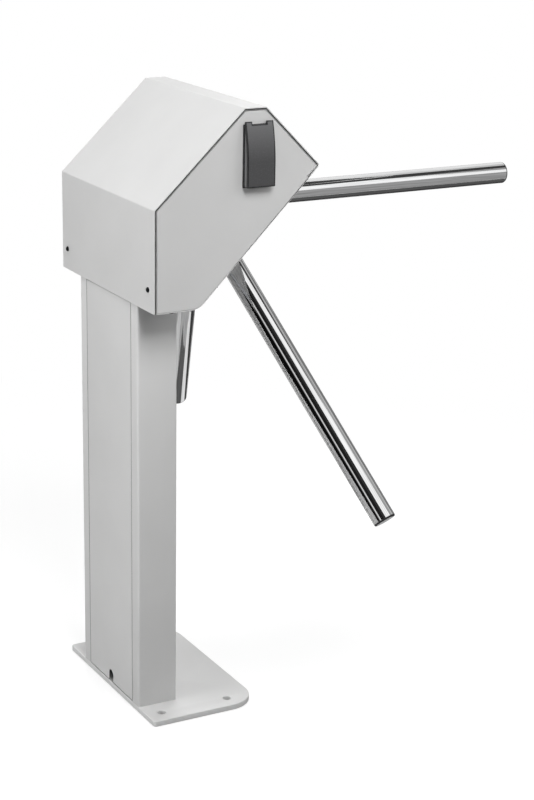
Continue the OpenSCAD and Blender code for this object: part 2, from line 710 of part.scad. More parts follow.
module mechanism_brackets() color(zinc) at_hub() both_sides() difference() {
  union() {
    block([bracket_low - side_bracket_l, bracket_foot, mech_rear - side_bracket_t],
          [bracket_low, half_w - cheek_t, mech_rear]);
    block([bracket_low - side_bracket_l, half_w - cheek_t - side_bracket_t, mech_rear - side_bracket_d],
          [bracket_low, half_w - cheek_t, mech_rear]);
  }
  at_bracket_bolts() rod(bolt_d / 2 + hole_gap, mech_rear - side_bracket_t - over, mech_rear + over);
}
module mechanism_bolts() color(steel) at_hub() {
  at_bracket_bolts() mirror([0, 0, 1])
    hex_bolt(bolt_d, side_bracket_t + mech_plate_t, side_bracket_t - mech_rear);
  at_housing_bolts() mirror([0, 0, 1])
    hex_bolt(bolt_d, housing_flange_t + mech_plate_t, housing_flange_t - mech_rear);
}

// Bearing housing with its two ball bearings
housing_flange_x = 52;
housing_flange_y = 38;
housing_lip = 3;
ring_r = bearing_od / 2;
circlip_t = 1.5;
circlip_in = 2;
circlip_out = 1.2;
race_gap = 0.5;
circlip_front = mech_rear - race_setback;
circlip_rear = rear_race - circlip_t;
module circlip_groove(level) rod(ring_r + circlip_out, level, level + circlip_t);
module bearing_housing() color(cast) at_hub() difference() {
  union() {
    rod(housing_d / 2, housing_end, mech_rear);
    rod(spigot_r, mech_rear, mech_front);
    block([-housing_flange_x, -housing_flange_y, mech_rear - housing_flange_t],
          [housing_flange_x, housing_flange_y, mech_rear]);
  }
  rod(ring_r - housing_lip, housing_end - over, mech_front + over);
  rod(ring_r, front_race, mech_front + over);
  rod(ring_r, housing_end - over, rear_race + bearing_b);
  circlip_groove(circlip_front);
  circlip_groove(circlip_rear);
  at_housing_bolts() rod(bolt_d / 2 + hole_gap, mech_rear - housing_flange_t - over, mech_rear + over);
}
ball_path_r = (shaft_r + ring_r) / 2;
shoulder_share = 0.29;
inner_shoulder_r = ball_path_r - ball_d * shoulder_share;
outer_shoulder_r = ball_path_r + ball_d * shoulder_share;
module ball_track() rotate_extrude() translate([ball_path_r, 0]) circle(r = ball_d / 2 + run_fit);
module at_races() for (level = [front_race, rear_race]) translate([0, 0, level + bearing_b / 2]) children();
module bearing_outer_rings() color(steel) at_hub() at_races() difference() {
  tube(ring_r, outer_shoulder_r, -bearing_b / 2, bearing_b / 2);
  ball_track();
}
module bearing_inner_rings() color(steel) at_hub() {
  at_races() difference() {
    tube(inner_shoulder_r, shaft_r, -bearing_b / 2, bearing_b / 2);
    ball_track();
  }
  tube(shoulder_r, shaft_r, rear_race + bearing_b, front_race);
  tube(shoulder_r, shaft_r, wheel_low + wheel_t, rear_race);
}
cage_t = 1.4;
cage_b = 9;
module ball_cages() color(bronze) at_hub() at_races() {
  tube(ball_path_r + cage_t / 2, ball_path_r - cage_t / 2, -cage_b / 2, cage_b / 2);
  for (i = [0 : ball_count - 1]) rotate(i * 360 / ball_count) translate([ball_path_r, 0, 0])
    sphere(r = ball_d / 2);
}
pawl_clip_r = 7;
module circlip(level) difference() {
  rod(ring_r + circlip_out, level, level + circlip_t);
  rod(ring_r - circlip_in, level - over, level + circlip_t + over);
  block([0, -circlip_in, level - over], [ring_r * 2, circlip_in, level + circlip_t + over]);
}
module retaining_rings() color(steel) at_hub() {
  circlip(circlip_front);
  circlip(circlip_rear);
  both_sides() at(pivot.x, pivot.y)
    tube(pawl_clip_r, pivot_r, wheel_low - gap - circlip_t, wheel_low - gap);
}

// Rotor: hub, shaft and arms
hub_bore_gap = 0.5;
hub_bore_r = hub_bolt_d / 2 + hub_bore_gap;
bolt_seat = 56;
cap_r = 27;
cap_spigot_r = 14;
cap_spigot_l = 5;
hub_chamfer = 2;
seat_sum = socket_to / cos(cone_angle);
module hub() color(cast) at_hub() difference() {
  rotate_extrude() polygon([
    [0, hub_back],
    [hub_r - hub_chamfer, hub_back],
    [hub_r, hub_back + hub_chamfer],
    [hub_r, seat_sum - hub_r],
    [seat_sum - hub_front, hub_front],
    [0, hub_front]]);
  rod(shaft_r + run_fit, hub_back - over, hub_back + spigot_l + gap);
  rod(hub_bore_r, hub_back, hub_front + over);
  rod(cap_spigot_r + gap, bolt_seat, hub_front + over);
  for (k = [0 : arm_count - 1]) at_arm(k) rod(arm_d / 2 + run_fit, socket_from, socket_to + hub_r);
  at_grub_screws() rod(screw_d / 2 + run_fit, hub_back - over, grub_tip);
}
dome_share = 0.7;
dome_h = nose_cap_h * dome_share;
dome_r = (cap_r * cap_r + dome_h * dome_h) / (2 * dome_h);
module nose_cap() color(chrome) at_hub() {
  translate([0, 0, hub_front]) intersection() {
    translate([0, 0, nose_cap_h - dome_r]) sphere(r = dome_r);
    rod(cap_r, 0, nose_cap_h + over);
  }
  rod(cap_spigot_r, hub_front - cap_spigot_l, hub_front);
}
module rotor_shaft() color(steel) at_hub() difference() {
  union() {
    rod(shaft_r, shaft_end, hub_back + spigot_l);
    rod(shoulder_r, front_race + bearing_b, hub_back);
    rod(flange_r, hub_back - flange_t, hub_back);
  }
  rod(hub_bolt_d / 2 + run_fit, hub_bolt_low - over, hub_back + spigot_l + over);
  block([shaft_r - key_in, -key_w / 2, gear_low], [shaft_r + over, key_w / 2, wheel_low + wheel_t]);
}
hub_bolt_low = bolt_seat - hub_bolt_l;
module shaft_fasteners() color(zinc) at_hub() {
  translate([0, 0, bolt_seat]) cylinder(r = hub_bolt_d * hex_share, h = hub_bolt_d * head_share, $fn = 6);
  rod(hub_bolt_d / 2, hub_bolt_low, bolt_seat);
  block([shaft_r - key_in, -key_w / 2, gear_low], [shaft_r + key_out, key_w / 2, wheel_low + wheel_t]);
  difference() {
    translate([0, 0, shaft_end + shaft_proud])
      cylinder(r = bearing_d * hex_share * nut_share, h = shaft_nut_t, $fn = 6);
    rod(shaft_r, shaft_end, encoder_low + over);
  }
}
nut_share = 0.85;
tube_from = socket_from + gap;
module arm(k) at_hub() at_arm(k) tube(arm_d / 2, arm_d / 2 - arm_wall, tube_from, arm_reach - arm_cap_t);
module arm_top() color(chrome) arm(0);
module arm_left() color(chrome) arm(2);
module arm_right() color(chrome) arm(1);
cap_plug_l = 14;
cap_edge_r = 1.2;
module arm_caps() color(chrome) at_hub() for (k = [0 : arm_count - 1]) at_arm(k) {
  rod(arm_d / 2 - arm_wall - run_fit, arm_reach - arm_cap_t - cap_plug_l, arm_reach - arm_cap_t);
  translate([0, 0, arm_reach]) rotate_extrude() polygon([
    [0, -arm_cap_t], [arm_d / 2, -arm_cap_t],
    for (i = [0 : 4]) let (turn = 90 * i / 4)
      [arm_d / 2 - cap_edge_r * (1 - cos(turn)), -cap_edge_r * (1 - sin(turn))],
    [0, 0]]);
}
// Grub screws that clamp each arm from the hub's back
grub_line_r = 50;
grub_slope_in = arm_d / 2 / cos(cone_angle);
grub_tip = (grub_line_r - screw_d / 2) * tan(cone_angle) - grub_slope_in;
module at_grub_screws() for (k = [0 : arm_count - 1]) rotate(180 + k * 360 / arm_count)
  at(grub_line_r, 0) children();
module arm_screws() color(black) at_hub() at_grub_screws() difference() {
  rod(screw_d / 2, hub_back, grub_tip);
  translate([0, 0, hub_back - over]) cylinder(r = screw_d * socket_share, h = screw_d, $fn = 6);
}

// Wheels on the rotor's shaft
module keyed_bore(from, to) {
  rod(shaft_r, from - over, to + over);
  block([0, -key_w / 2 - hole_gap, from - over],
        [shaft_r + key_out + hole_gap, key_w / 2 + hole_gap, to + over]);
}
light_hole_r = 8;
light_hole_count = 6;
wheel_hole_share = 0.31;
module lock_wheel() color(steel) at_hub() difference() {
  rod(wheel_d / 2, wheel_low, wheel_low + wheel_t);
  keyed_bore(wheel_low, wheel_low + wheel_t);
  for (i = [0 : notch_count - 1]) rotate(i * 360 / notch_count)
    block([wheel_d / 2 - notch_depth, -notch_w / 2, wheel_low - over],
          [wheel_d / 2 + over, notch_w / 2, wheel_low + wheel_t + over]);
  for (i = [0 : light_hole_count - 1]) rotate((i + 0.5) * 360 / light_hole_count)
    at(wheel_d * wheel_hole_share, 0) rod(light_hole_r, wheel_low - over, wheel_low + wheel_t + over);
}

// Involute gear outline: each flank is the involute of the base circle
pressure_angle = 20;
addendum_share = 0.9;
dedendum_share = 1.2;
flank_steps = 3;
function involute(a) = tan(a) * 180 / PI - a;
function flank_angle(teeth, r) = let (
  pitch_r = gear_module * teeth / 2,
  base_r = pitch_r * cos(pressure_angle),
  play = gear_play / pitch_r * 180 / PI)
  90 / teeth - play + involute(pressure_angle) - involute(acos(min(1, base_r / r)));
function flank_radii(teeth) = let (
  pitch_r = gear_module * teeth / 2,
  root_r = pitch_r - dedendum_share * gear_module,
  base_r = pitch_r * cos(pressure_angle),
  start = max(root_r, base_r),
  tip = pitch_r + addendum_share * gear_module)
  concat(root_r < base_r ? [root_r] : [],
         [for (i = [0 : flank_steps]) start + (tip - start) * i / flank_steps]);
function gear_outline(teeth, turn) = [for (k = [0 : teeth - 1]) let (
  middle = turn + k * 360 / teeth,
  radii = flank_radii(teeth),
  n = len(radii))
  each concat(
    [for (i = [0 : n - 1]) let (a = middle - flank_angle(teeth, radii[i])) radii[i] * [cos(a), sin(a)]],
    [for (i = [0 : n - 1]) let (a = middle + flank_angle(teeth, radii[n - 1 - i]))
      radii[n - 1 - i] * [cos(a), sin(a)]])];
module gear_blank(teeth, turn) translate([0, 0, gear_low]) linear_extrude(height = gear_b)
  polygon(gear_outline(teeth, turn));
gear_boss_r = 21;
module drive_gear() color(steel) at_hub() difference() {
  union() {
    gear_blank(gear_teeth, 0);
    rod(gear_boss_r, gear_low + gear_b, wheel_low);
  }
  keyed_bore(gear_low, wheel_low);
  for (i = [0 : light_hole_count - 1]) rotate((i + 0.5) * 360 / light_hole_count)
    at(gear_module * gear_teeth * wheel_hole_share, 0)
      rod(light_hole_r, gear_low - over, gear_low + gear_b + over);
}
slot_w = 2.5;
slot_l = 7;
slot_in = 2;
encoder_boss_r = 19;
module encoder_disc() color(black) at_hub() difference() {
  union() {
    rod(encoder_r, encoder_low, encoder_low + encoder_t);
    rod(encoder_boss_r, encoder_low, gear_low);
  }
  rod(shaft_r, encoder_low - over, gear_low + over);
  for (i = [0 : encoder_slots - 1]) rotate((i + 0.5) * 360 / encoder_slots)
    block([encoder_r - slot_in - slot_l, -slot_w / 2, encoder_low - over],
          [encoder_r - slot_in, slot_w / 2, encoder_low + encoder_t + over]);
}

// Centring crank: block, bushes, crank and pinion
crank_r = crank_shaft_d / 2;
bush_wall = 2;
bush_b = 14;
block_wall = 6;
block_foot_t = 6;
block_foot_x = 28;
block_foot_y = 14;
block_screw_x = 22;
crank_bush_r = crank_r + run_fit + bush_wall;
crank_block_end = housing_end;
module at_crank() at(0, gear_centres) children();
module at_damper() at(0, -gear_centres) children();
module crank_block() color(cast) at_hub() at_crank() difference() {
  union() {
    rod(crank_bush_r + block_wall, crank_block_end, mech_rear);
    block([-block_foot_x, -block_foot_y, mech_rear - block_foot_t], [block_foot_x, block_foot_y, mech_rear]);
  }
  rod(crank_bush_r - bush_wall / 2, crank_block_end - over, mech_rear + over);
  for (level = [crank_block_end, mech_rear - bush_b]) rod(crank_bush_r, level - over, level + bush_b);
  rod(crank_bush_r, mech_rear - bush_b, mech_rear + over);
  for (x = [-1, 1]) at(x * block_screw_x, 0)
    rod(screw_d / 2 + hole_gap, mech_rear - block_foot_t - over, mech_rear + over);
}
module crank_bushes() color(bronze) at_hub() at_crank()
  for (level = [crank_block_end, mech_rear - bush_b])
    tube(crank_bush_r, crank_r + run_fit, level, level + bush_b - over);
crank_head_r = 9;
crank_head_t = 3;
pin_r = 4;
pin_neck_r = 3;
pin_neck_half = 4;
pin_head_r = 5;
pin_head_t = 3;
module hook_pin(foot) {
  rod(pin_r, spring_level + pin_neck_half, foot);
  rod(pin_neck_r, spring_level - pin_neck_half, spring_level + pin_neck_half);
  rod(pin_head_r, spring_level - pin_neck_half - pin_head_t, spring_level - pin_neck_half);
}
module crank() color(steel) at_hub() at_crank() {
  rod(crank_r, crank_low, mech_front + gap + crank_head_t);
  rod(crank_head_r, mech_front + gap, mech_front + gap + crank_head_t);
  rod(crank_disc_r, crank_low, crank_low + crank_disc_t);
  at(0, crank_throw) hook_pin(crank_low);
}
pinion_boss_r = 10;
pinion_turn = 180 / pinion_teeth;
module pinion_wheel(boss_end) difference() {
  union() {
    gear_blank(pinion_teeth, pinion_turn);
    rod(pinion_boss_r, gear_low + gear_b, boss_end);
  }
  rod(crank_r, gear_low - over, boss_end + over);
}
module crank_pinion() color(bronze) at_hub() at_crank() {
  pinion_wheel(crank_block_end - gap);
  tube(pinion_boss_r, crank_r, crank_low + crank_disc_t, gear_low);
}

// Rotary damper and its pinion
damper_foot_t = 6;
damper_foot_x = 38;
damper_screw_x = 31;
damper_end = housing_end;
damper_shaft_proud = 2;
damper_shaft_low = gear_low - damper_shaft_proud;
damper_bore_l = 24;
module damper_body() color(black) at_hub() at_damper() difference() {
  union() {
    rod(damper_d / 2, damper_end, mech_rear);
    block([-damper_foot_x, -damper_d / 2, mech_rear - damper_foot_t],
          [damper_foot_x, damper_d / 2, mech_rear]);
  }
  rod(crank_r + run_fit, damper_end - over, damper_end + damper_bore_l);
  for (x = [-1, 1]) at(x * damper_screw_x, 0)
    rod(screw_d / 2 + hole_gap, mech_rear - damper_foot_t - over, mech_rear + over);
}
module damper_pinion() color(bronze) at_hub() at_damper() {
  pinion_wheel(damper_end - gap);
  rod(crank_r, damper_shaft_low, damper_end + damper_bore_l - gap);
}

// Centring spring between the crank pin and its anchor
anchor_in = 12;
anchor_y = half_w - cheek_t - side_bracket_t - anchor_in;
anchor_r = 7;
wire_r = 1;
hook_r = pin_neck_r + gap + wire_r;
hook_reach = 12;
spring_from = gear_centres + crank_throw + hook_reach;
spring_to = anchor_y - hook_reach;
module spring_anchor() color(steel) at_hub() at(0, anchor_y) {
  rod(anchor_r, spring_level + 2 * pin_neck_half, mech_rear - side_bracket_t);
  hook_pin(spring_level + 2 * pin_neck_half);
}
module hook(y) translate([0, y, spring_level]) rotate_extrude() translate([hook_r, 0]) circle(r = wire_r);
module centring_spring() color(zinc) at_hub() {
  translate([0, 0, spring_level]) rotate([-90, 0, 0]) {
    tube(spring_d / 2, spring_d / 2 - 2 * wire_r, spring_from, spring_to);
    for (level = [spring_from, spring_to - 2 * wire_r]) rod(spring_d / 2, level, level + 2 * wire_r);
    rod(wire_r, gear_centres + crank_throw + hook_r, spring_from);
    rod(wire_r, spring_to, anchor_y - hook_r);
  }
  hook(gear_centres + crank_throw);
  hook(anchor_y);
}

// Lock: two pawls, their posts, solenoids and return springs
pawl_swing = 8;
notch_angle = 120;
bite_r = wheel_d / 2 - notch_depth / 2;
tooth_dir = [cos(notch_angle), sin(notch_angle)];
rim_dir = [-sin(notch_angle), cos(notch_angle)];
pivot = bite_r * tooth_dir + pawl_l * rim_dir;
tooth_clear = 1.2;
pivot_r = 4;
pawl_boss_r = 9;
pawl_arm_w = 8;
tail_boss_r = 5;
tail_pin_r = 2.5;
tooth_back = 9;
nose_out_r = wheel_d / 2 + tooth_back;
tongue_drop = 4;
plunger_level = wheel_low - tongue_drop;
tongue_t = 4;
pawl_spring_drop = 7;
pawl_spring_level = plunger_level - pawl_spring_drop;
tail_pin_proud = 4;
tail_pin_low = pawl_spring_level - tail_pin_proud;
function pin_at(turn) = pivot + tail_l * [cos(180 + turn), sin(180 + turn)];
pin_rest = pin_at(pawl_swing / 2);
// Bar with round ends between two points, slightly waisted between them
waist_share = 0.46;
module flat_bar(a, b, w) {
  translate(a) circle(r = w / 2);
  translate(b) circle(r = w / 2);
  translate(a) rotate(atan2(b.y - a.y, b.x - a.x)) translate([0, -w * waist_share])
    square([norm(b - a), 2 * w * waist_share]);
}
module pawl() translate(concat(pivot, 0)) rotate(pawl_swing) translate(concat(-pivot, 0)) {
  translate([0, 0, wheel_low]) linear_extrude(height = wheel_t) difference() {
    union() {
      translate(pivot) circle(r = pawl_boss_r);
      flat_bar(pivot, nose_out_r * tooth_dir, pawl_arm_w);
      rotate(notch_angle) translate([wheel_d / 2 - notch_depth + tooth_clear, -tooth_w / 2])
        square([nose_out_r - wheel_d / 2 + notch_depth - tooth_clear, tooth_w]);
      flat_bar(pivot, pin_at(-pawl_swing / 2), 2 * tail_boss_r);
    }
    translate(pivot) circle(r = pivot_r + run_fit);
  }
  at(pin_at(-pawl_swing / 2).x, pin_at(-pawl_swing / 2).y) rod(tail_pin_r, tail_pin_low, wheel_low);
}
module left_pawl() color(steel) at_hub() pawl();
module right_pawl() color(steel) at_hub() mirror([0, 1, 0]) pawl();
post_r = 8;
stop_l = 15;
module pawl_posts() color(zinc) at_hub() {
  both_sides() at(pivot.x, pivot.y) {
    rod(post_r, wheel_low + wheel_t + gap, mech_rear);
    rod(pivot_r, wheel_low - 2 * gap - circlip_t, wheel_low + wheel_t + gap);
  }
  block([pin_rest.x - stop_l / 2, -(pin_rest.y - tail_boss_r - gap), wheel_low],
        [pin_rest.x + stop_l / 2, pin_rest.y - tail_boss_r - gap, mech_rear]);
  at(pin_rest.x, 0) rod(tail_pin_r, tail_pin_low, wheel_low);
}
small_hook_r = tail_pin_r + gap + wire_r / 2;
small_spring_r = 3;
module small_hook() rotate_extrude() translate([small_hook_r, 0]) circle(r = wire_r / 2);
module pawl_springs() color(zinc) at_hub() both_sides() translate([pin_rest.x, 0, pawl_spring_level]) {
  translate([0, 0, wire_r]) small_hook();
  translate([0, pin_rest.y, 0]) small_hook();
  rotate([-90, 0, 0]) {
    rod(small_spring_r, small_hook_r + wire_r, pin_rest.y - small_hook_r - wire_r);
    translate([0, -wire_r, 0]) rod(wire_r / 2, small_hook_r, small_hook_r + wire_r);
    rod(wire_r / 2, pin_rest.y - small_hook_r - wire_r, pin_rest.y - small_hook_r);
  }
}
plunger_r = 6;
plunger_back = 20;
solenoid_from = 48;
tongue_x = 7;
tongue_lead = 6;
tongue_gap = 8;
tongue_root = 2;
tongue_from = pin_rest.y - tongue_lead;
tongue_to = solenoid_from - tongue_gap;
slot_clear = 0.3;
slot_reach = 1;
module plunger() {
  translate([pin_rest.x, 0, plunger_level]) rotate([-90, 0, 0])
    rod(plunger_r, tongue_to - tongue_root, solenoid_from + solenoid_l - plunger_back);
  difference() {
    block([pin_rest.x - tongue_x, tongue_from, plunger_level - tongue_t / 2],
          [pin_rest.x + tongue_x, tongue_to, plunger_level + tongue_t / 2]);
    for (x = [-1, 1]) at(pin_rest.x + x * slot_reach, pin_rest.y)
      rod(tail_pin_r + slot_clear, plunger_level - tongue_t, plunger_level + tongue_t);
    block([pin_rest.x - slot_reach, pin_rest.y - tail_pin_r - slot_clear, plunger_level - tongue_t],
          [pin_rest.x + slot_reach, pin_rest.y + tail_pin_r + slot_clear, plunger_level + tongue_t]);
  }
}
module left_plunger() color(steel) at_hub() plunger();
module right_plunger() color(steel) at_hub() mirror([0, 1, 0]) plunger();
yoke_t = 2.5;
coil_side = solenoid_s - 2 * yoke_t - 2 * gap;
module along_plunger(from, to)
  translate([pin_rest.x, 0, plunger_level]) rotate([-90, 0, 0]) rod(plunger_r + gap, from, to);
module solenoid_frames() color(zinc) at_hub() both_sides() {
  difference() {
    block([pin_rest.x - solenoid_s / 2, solenoid_from, plunger_level - solenoid_s / 2],
          [pin_rest.x + solenoid_s / 2, solenoid_from + solenoid_l, plunger_level + solenoid_s / 2]);
    block([pin_rest.x - solenoid_s / 2 + yoke_t, solenoid_from + yoke_t, plunger_level - solenoid_s],
          [pin_rest.x + solenoid_s / 2 - yoke_t, solenoid_from + solenoid_l - yoke_t,
           plunger_level + solenoid_s]);
    along_plunger(solenoid_from - over, solenoid_from + solenoid_l / 2);
  }
  difference() {
    union() {
      block([pin_rest.x + solenoid_s / 2, solenoid_from, plunger_level - solenoid_s / 2],
            [pin_rest.x + solenoid_s / 2 + yoke_t, solenoid_from + solenoid_l, mech_rear]);
      block([pin_rest.x + solenoid_s / 2, solenoid_from, mech_rear - yoke_t],
            [pin_rest.x + solenoid_s, solenoid_from + solenoid_l, mech_rear]);
    }
    at_solenoid_screws() rod(screw_d / 2 + hole_gap, mech_rear - yoke_t - over, mech_rear + over);
  }
}
solenoid_screw_shares = [0.25, 0.75];
module at_solenoid_screws() for (s = solenoid_screw_shares)
  at(pin_rest.x + solenoid_s - screw_d * pan_share - gap, solenoid_from + s * solenoid_l) children();
module solenoid_coils() color(copper) at_hub() both_sides() difference() {
  block([pin_rest.x - coil_side / 2, solenoid_from + yoke_t, plunger_level - coil_side / 2],
        [pin_rest.x + coil_side / 2, solenoid_from + solenoid_l - yoke_t, plunger_level + coil_side / 2]);
  along_plunger(solenoid_from, solenoid_from + solenoid_l - yoke_t - over);
}

// Position sensors that straddle the slotted disc
fork_t = 3;
fork_in = 8;
fork_clear = 2;
fork_w = 12;
fork_spread_share = 0.62;
fork_x = encoder_r + fork_clear;
sensor_board_t = 1.6;
sensor_board_x = wheel_d / 2 + fork_clear;
sensor_wall_x = sensor_board_x + sensor_board_t + fork_clear;
sensor_wall_t = 3;
sensor_half_w = 24;
sensor_foot_l = 26;
sensor_low = encoder_low - fork_clear - fork_t;
sensor_screw_x = sensor_wall_x + sensor_foot_l - screw_d * 1.4;
module position_sensors() color(black) at_hub() {
  for (y = [-1, 1]) translate([0, y * sensor_half_w * fork_spread_share, 0]) {
    block([fork_x, -fork_w / 2, sensor_low],
          [sensor_board_x, fork_w / 2, encoder_low + encoder_t + fork_clear + fork_t]);
    for (level = [sensor_low, encoder_low + encoder_t + fork_clear])
      block([encoder_r * cos(asin(sensor_half_w / encoder_r)) - fork_in, -fork_w / 2, level],
            [fork_x, fork_w / 2, level + fork_t]);
  }
  block([sensor_board_x, -sensor_half_w, sensor_low - fork_t],
        [sensor_board_x + sensor_board_t, sensor_half_w, gear_low + gear_b]);
  for (y = [-1, 1]) translate([sensor_board_x + sensor_board_t, y * sensor_half_w / 2, gear_low])
    rotate([0, 90, 0]) rod(fork_t, 0, fork_clear);
}
module sensor_bracket() color(zinc) at_hub() difference() {
  union() {
    block([sensor_wall_x, -sensor_half_w, sensor_low - fork_t],
          [sensor_wall_x + sensor_wall_t, sensor_half_w, mech_rear]);
    block([sensor_wall_x, -sensor_half_w, mech_rear - sensor_wall_t],
          [sensor_wall_x + sensor_foot_l, sensor_half_w, mech_rear]);
  }
  at_sensor_screws() rod(screw_d / 2 + hole_gap, mech_rear - sensor_wall_t - over, mech_rear + over);
}
module at_sensor_screws() for (y = [-1, 1]) at(sensor_screw_x, y * sensor_half_w / 2) children();
module inner_screws() color(black) at_hub() {
  for (x = [-1, 1]) {
    at(x * block_screw_x, gear_centres) mirror([0, 0, 1])
      pan_screw(screw_d, block_foot_t, block_foot_t - mech_rear);
    at(x * damper_screw_x, -gear_centres) mirror([0, 0, 1])
      pan_screw(screw_d, damper_foot_t, damper_foot_t - mech_rear);
  }
  at_sensor_screws() mirror([0, 0, 1]) pan_screw(screw_d, sensor_wall_t, sensor_wall_t - mech_rear);
  both_sides() at_solenoid_screws() mirror([0, 0, 1]) pan_screw(screw_d, yoke_t, yoke_t - mech_rear);
}

// Control board, power supply and wiring on the chassis floor
board_t = 1.6;
standoff_h = 10;
standoff_r = 3.5;
board_in = 5;
board_bolt_gap = 4;
board_from_y = head_bolt_pitch_y / 2 + bolt_d + board_bolt_gap;
board_from_x = chassis_inner[0].x + board_in;
board_top_z = floor_top_z + standoff_h + board_t;
chip_h = 4;
relay_h = 16;
terminal_h = 12;
terminal_w = 9;
relay_place_shares = [0.2, 0.42, 0.64];
module control_board() color(board_green) {
  block([board_from_x, board_from_y, board_top_z - board_t],
        [board_from_x + board_l, board_from_y + board_w, board_top_z]);
  for (x = [standoff_r, board_l - standoff_r], y = [standoff_r, board_w - standoff_r])
    translate([board_from_x + x, board_from_y + y, floor_top_z]) rod(standoff_r, 0, standoff_h);
  for (s = relay_place_shares)
    translate([board_from_x + board_l / 8, board_from_y + s * board_w, board_top_z])
      cube([board_l / 4, board_w / 8, relay_h]);
  translate([board_from_x + board_l / 2, board_from_y + board_w / 4, board_top_z])
    cube([board_l / 4, board_l / 4, chip_h]);
  translate([board_from_x + board_l - terminal_w, board_from_y + board_w / 6, board_top_z])
    cube([terminal_w, board_w * 2 / 3, terminal_h]);
}
module power_supply() color(cast)
  block([board_from_x, -board_from_y - board_w, floor_top_z],
        [board_from_x + board_l, -board_from_y, floor_top_z + supply_h]);

// Wires with round bends between straight runs, from the board's plug to the supply's
wire_d = 5;
plug_h = 9;
plug_w = 14;
wire_sag = 12;
knot_share = 0.53;
module wire(points) {
  for (p = points) translate(p) sphere(r = wire_d * knot_share);
  for (i = [0 : len(points) - 2]) let (v = points[i + 1] - points[i])
    translate(points[i]) rotate([0, acos(v.z / norm(v)), atan2(v.y, v.x)])
      cylinder(r = wire_d / 2, h = norm(v));
}
plug_x = board_from_x + board_l - terminal_w;
plug_y = board_from_y + board_w / 4;
board_plug_z = board_top_z + terminal_h;
supply_plug_z = floor_top_z + supply_h;
supply_plug_y = -board_from_y - plug_w;
module wiring_loom() color(black) {
  block([plug_x, plug_y, board_plug_z], [plug_x + terminal_w, plug_y + plug_w, board_plug_z + plug_h]);
  block([plug_x, supply_plug_y - plug_w, supply_plug_z],
        [plug_x + terminal_w, supply_plug_y, supply_plug_z + plug_h]);
  wire([
    [plug_x + terminal_w / 2, plug_y, board_plug_z + plug_h / 2],
    [plug_x + terminal_w / 2, plug_y / 2, board_plug_z + plug_h / 2 - wire_sag / 4],
    [plug_x + terminal_w / 2, -plug_y / 2, board_plug_z + plug_h / 2 - wire_sag / 4],
    [plug_x + terminal_w / 2, -board_from_y + plug_w, supply_plug_z + plug_h / 2],
    [plug_x + terminal_w / 2, supply_plug_y, supply_plug_z + plug_h / 2]]);
}

base_plate();
post();
post_top_plate();
post_cover();
cover_clips();
earth_stud();
chassis_floor();
head_bolts();
left_cheek();
right_cheek();
face_plate();
shell_screws();
hood();
hood_screws();
hood_bushes();
mechanism_plate();
mechanism_brackets();
mechanism_bolts();
bearing_housing();
bearing_outer_rings();
retaining_rings();
crank_block();
crank_bushes();
damper_body();
spring_anchor();
solenoid_frames();
solenoid_coils();
pawl_posts();
sensor_bracket();
position_sensors();
inner_screws();
control_board();
power_supply();
wiring_loom();
indicator_bezels();
indicator_lenses();
light_boards();
hub();
nose_cap();
rotor_shaft();
shaft_fasteners();
arm_top();
arm_left();
arm_right();
arm_caps();
arm_screws();
lock_wheel();
drive_gear();
encoder_disc();
bearing_inner_rings();
ball_cages();
crank();
crank_pinion();
damper_pinion();
left_pawl();
right_pawl();
left_plunger();
right_plunger();
centring_spring();
pawl_springs();
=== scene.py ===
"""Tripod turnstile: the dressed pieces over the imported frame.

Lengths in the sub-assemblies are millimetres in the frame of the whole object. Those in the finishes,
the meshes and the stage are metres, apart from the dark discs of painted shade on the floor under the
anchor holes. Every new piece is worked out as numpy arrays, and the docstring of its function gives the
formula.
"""

from __future__ import annotations

import json
import logging
import math
from dataclasses import dataclass, field
from enum import Enum
from typing import Sequence

import bmesh
import bpy
import numpy as np
from mathutils import Matrix, Vector
from mathutils.geometry import tessellate_polygon


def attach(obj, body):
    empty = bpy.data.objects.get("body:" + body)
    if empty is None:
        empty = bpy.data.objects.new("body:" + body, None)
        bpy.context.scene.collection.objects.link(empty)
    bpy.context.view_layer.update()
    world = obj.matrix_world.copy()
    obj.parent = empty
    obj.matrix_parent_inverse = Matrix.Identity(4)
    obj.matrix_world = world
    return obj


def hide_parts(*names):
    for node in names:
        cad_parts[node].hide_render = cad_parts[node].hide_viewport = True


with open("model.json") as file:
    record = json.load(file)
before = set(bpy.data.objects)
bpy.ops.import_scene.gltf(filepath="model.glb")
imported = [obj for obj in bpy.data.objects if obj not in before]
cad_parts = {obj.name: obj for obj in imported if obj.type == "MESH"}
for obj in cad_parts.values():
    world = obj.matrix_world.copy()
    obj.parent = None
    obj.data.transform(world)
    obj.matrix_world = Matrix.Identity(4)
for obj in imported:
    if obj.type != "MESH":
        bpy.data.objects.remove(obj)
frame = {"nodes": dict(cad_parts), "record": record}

LOG = logging.getLogger("turnstile")
METRE = 0.001
Array = np.ndarray
Socket = bpy.types.NodeSocket
Triple = tuple[float, float, float]


class Slot(Enum):
    """Material slots of the record, which carried nodes take their finish from and which new pieces carry
    beside their own finish.
    """

    POWDER = "powder_coat"
    ZINC = "zinc_plate"
    STEEL = "steel"
    CHROME = "chrome"
    CAST = "cast_aluminium"
    BLACK_STEEL = "black_steel"
    BLACK_PLASTIC = "black_plastic"
    SMOKED = "smoked_plastic"
    COPPER = "copper_coil"
    BRONZE = "bronze"
    BOARD = "circuit_board"


# Planes and outlines


@dataclass(frozen=True)
class Basis:
    """A place in the frame: an origin and the directions of the three local axes."""

    origin: Triple
    u: Triple
    v: Triple
    w: Triple

    def place(self, local: Array) -> Array:
        """Returns origin plus local coordinates times the axes, for points of any array shape."""
        return np.asarray(self.origin) + local @ np.array([self.u, self.v, self.w])


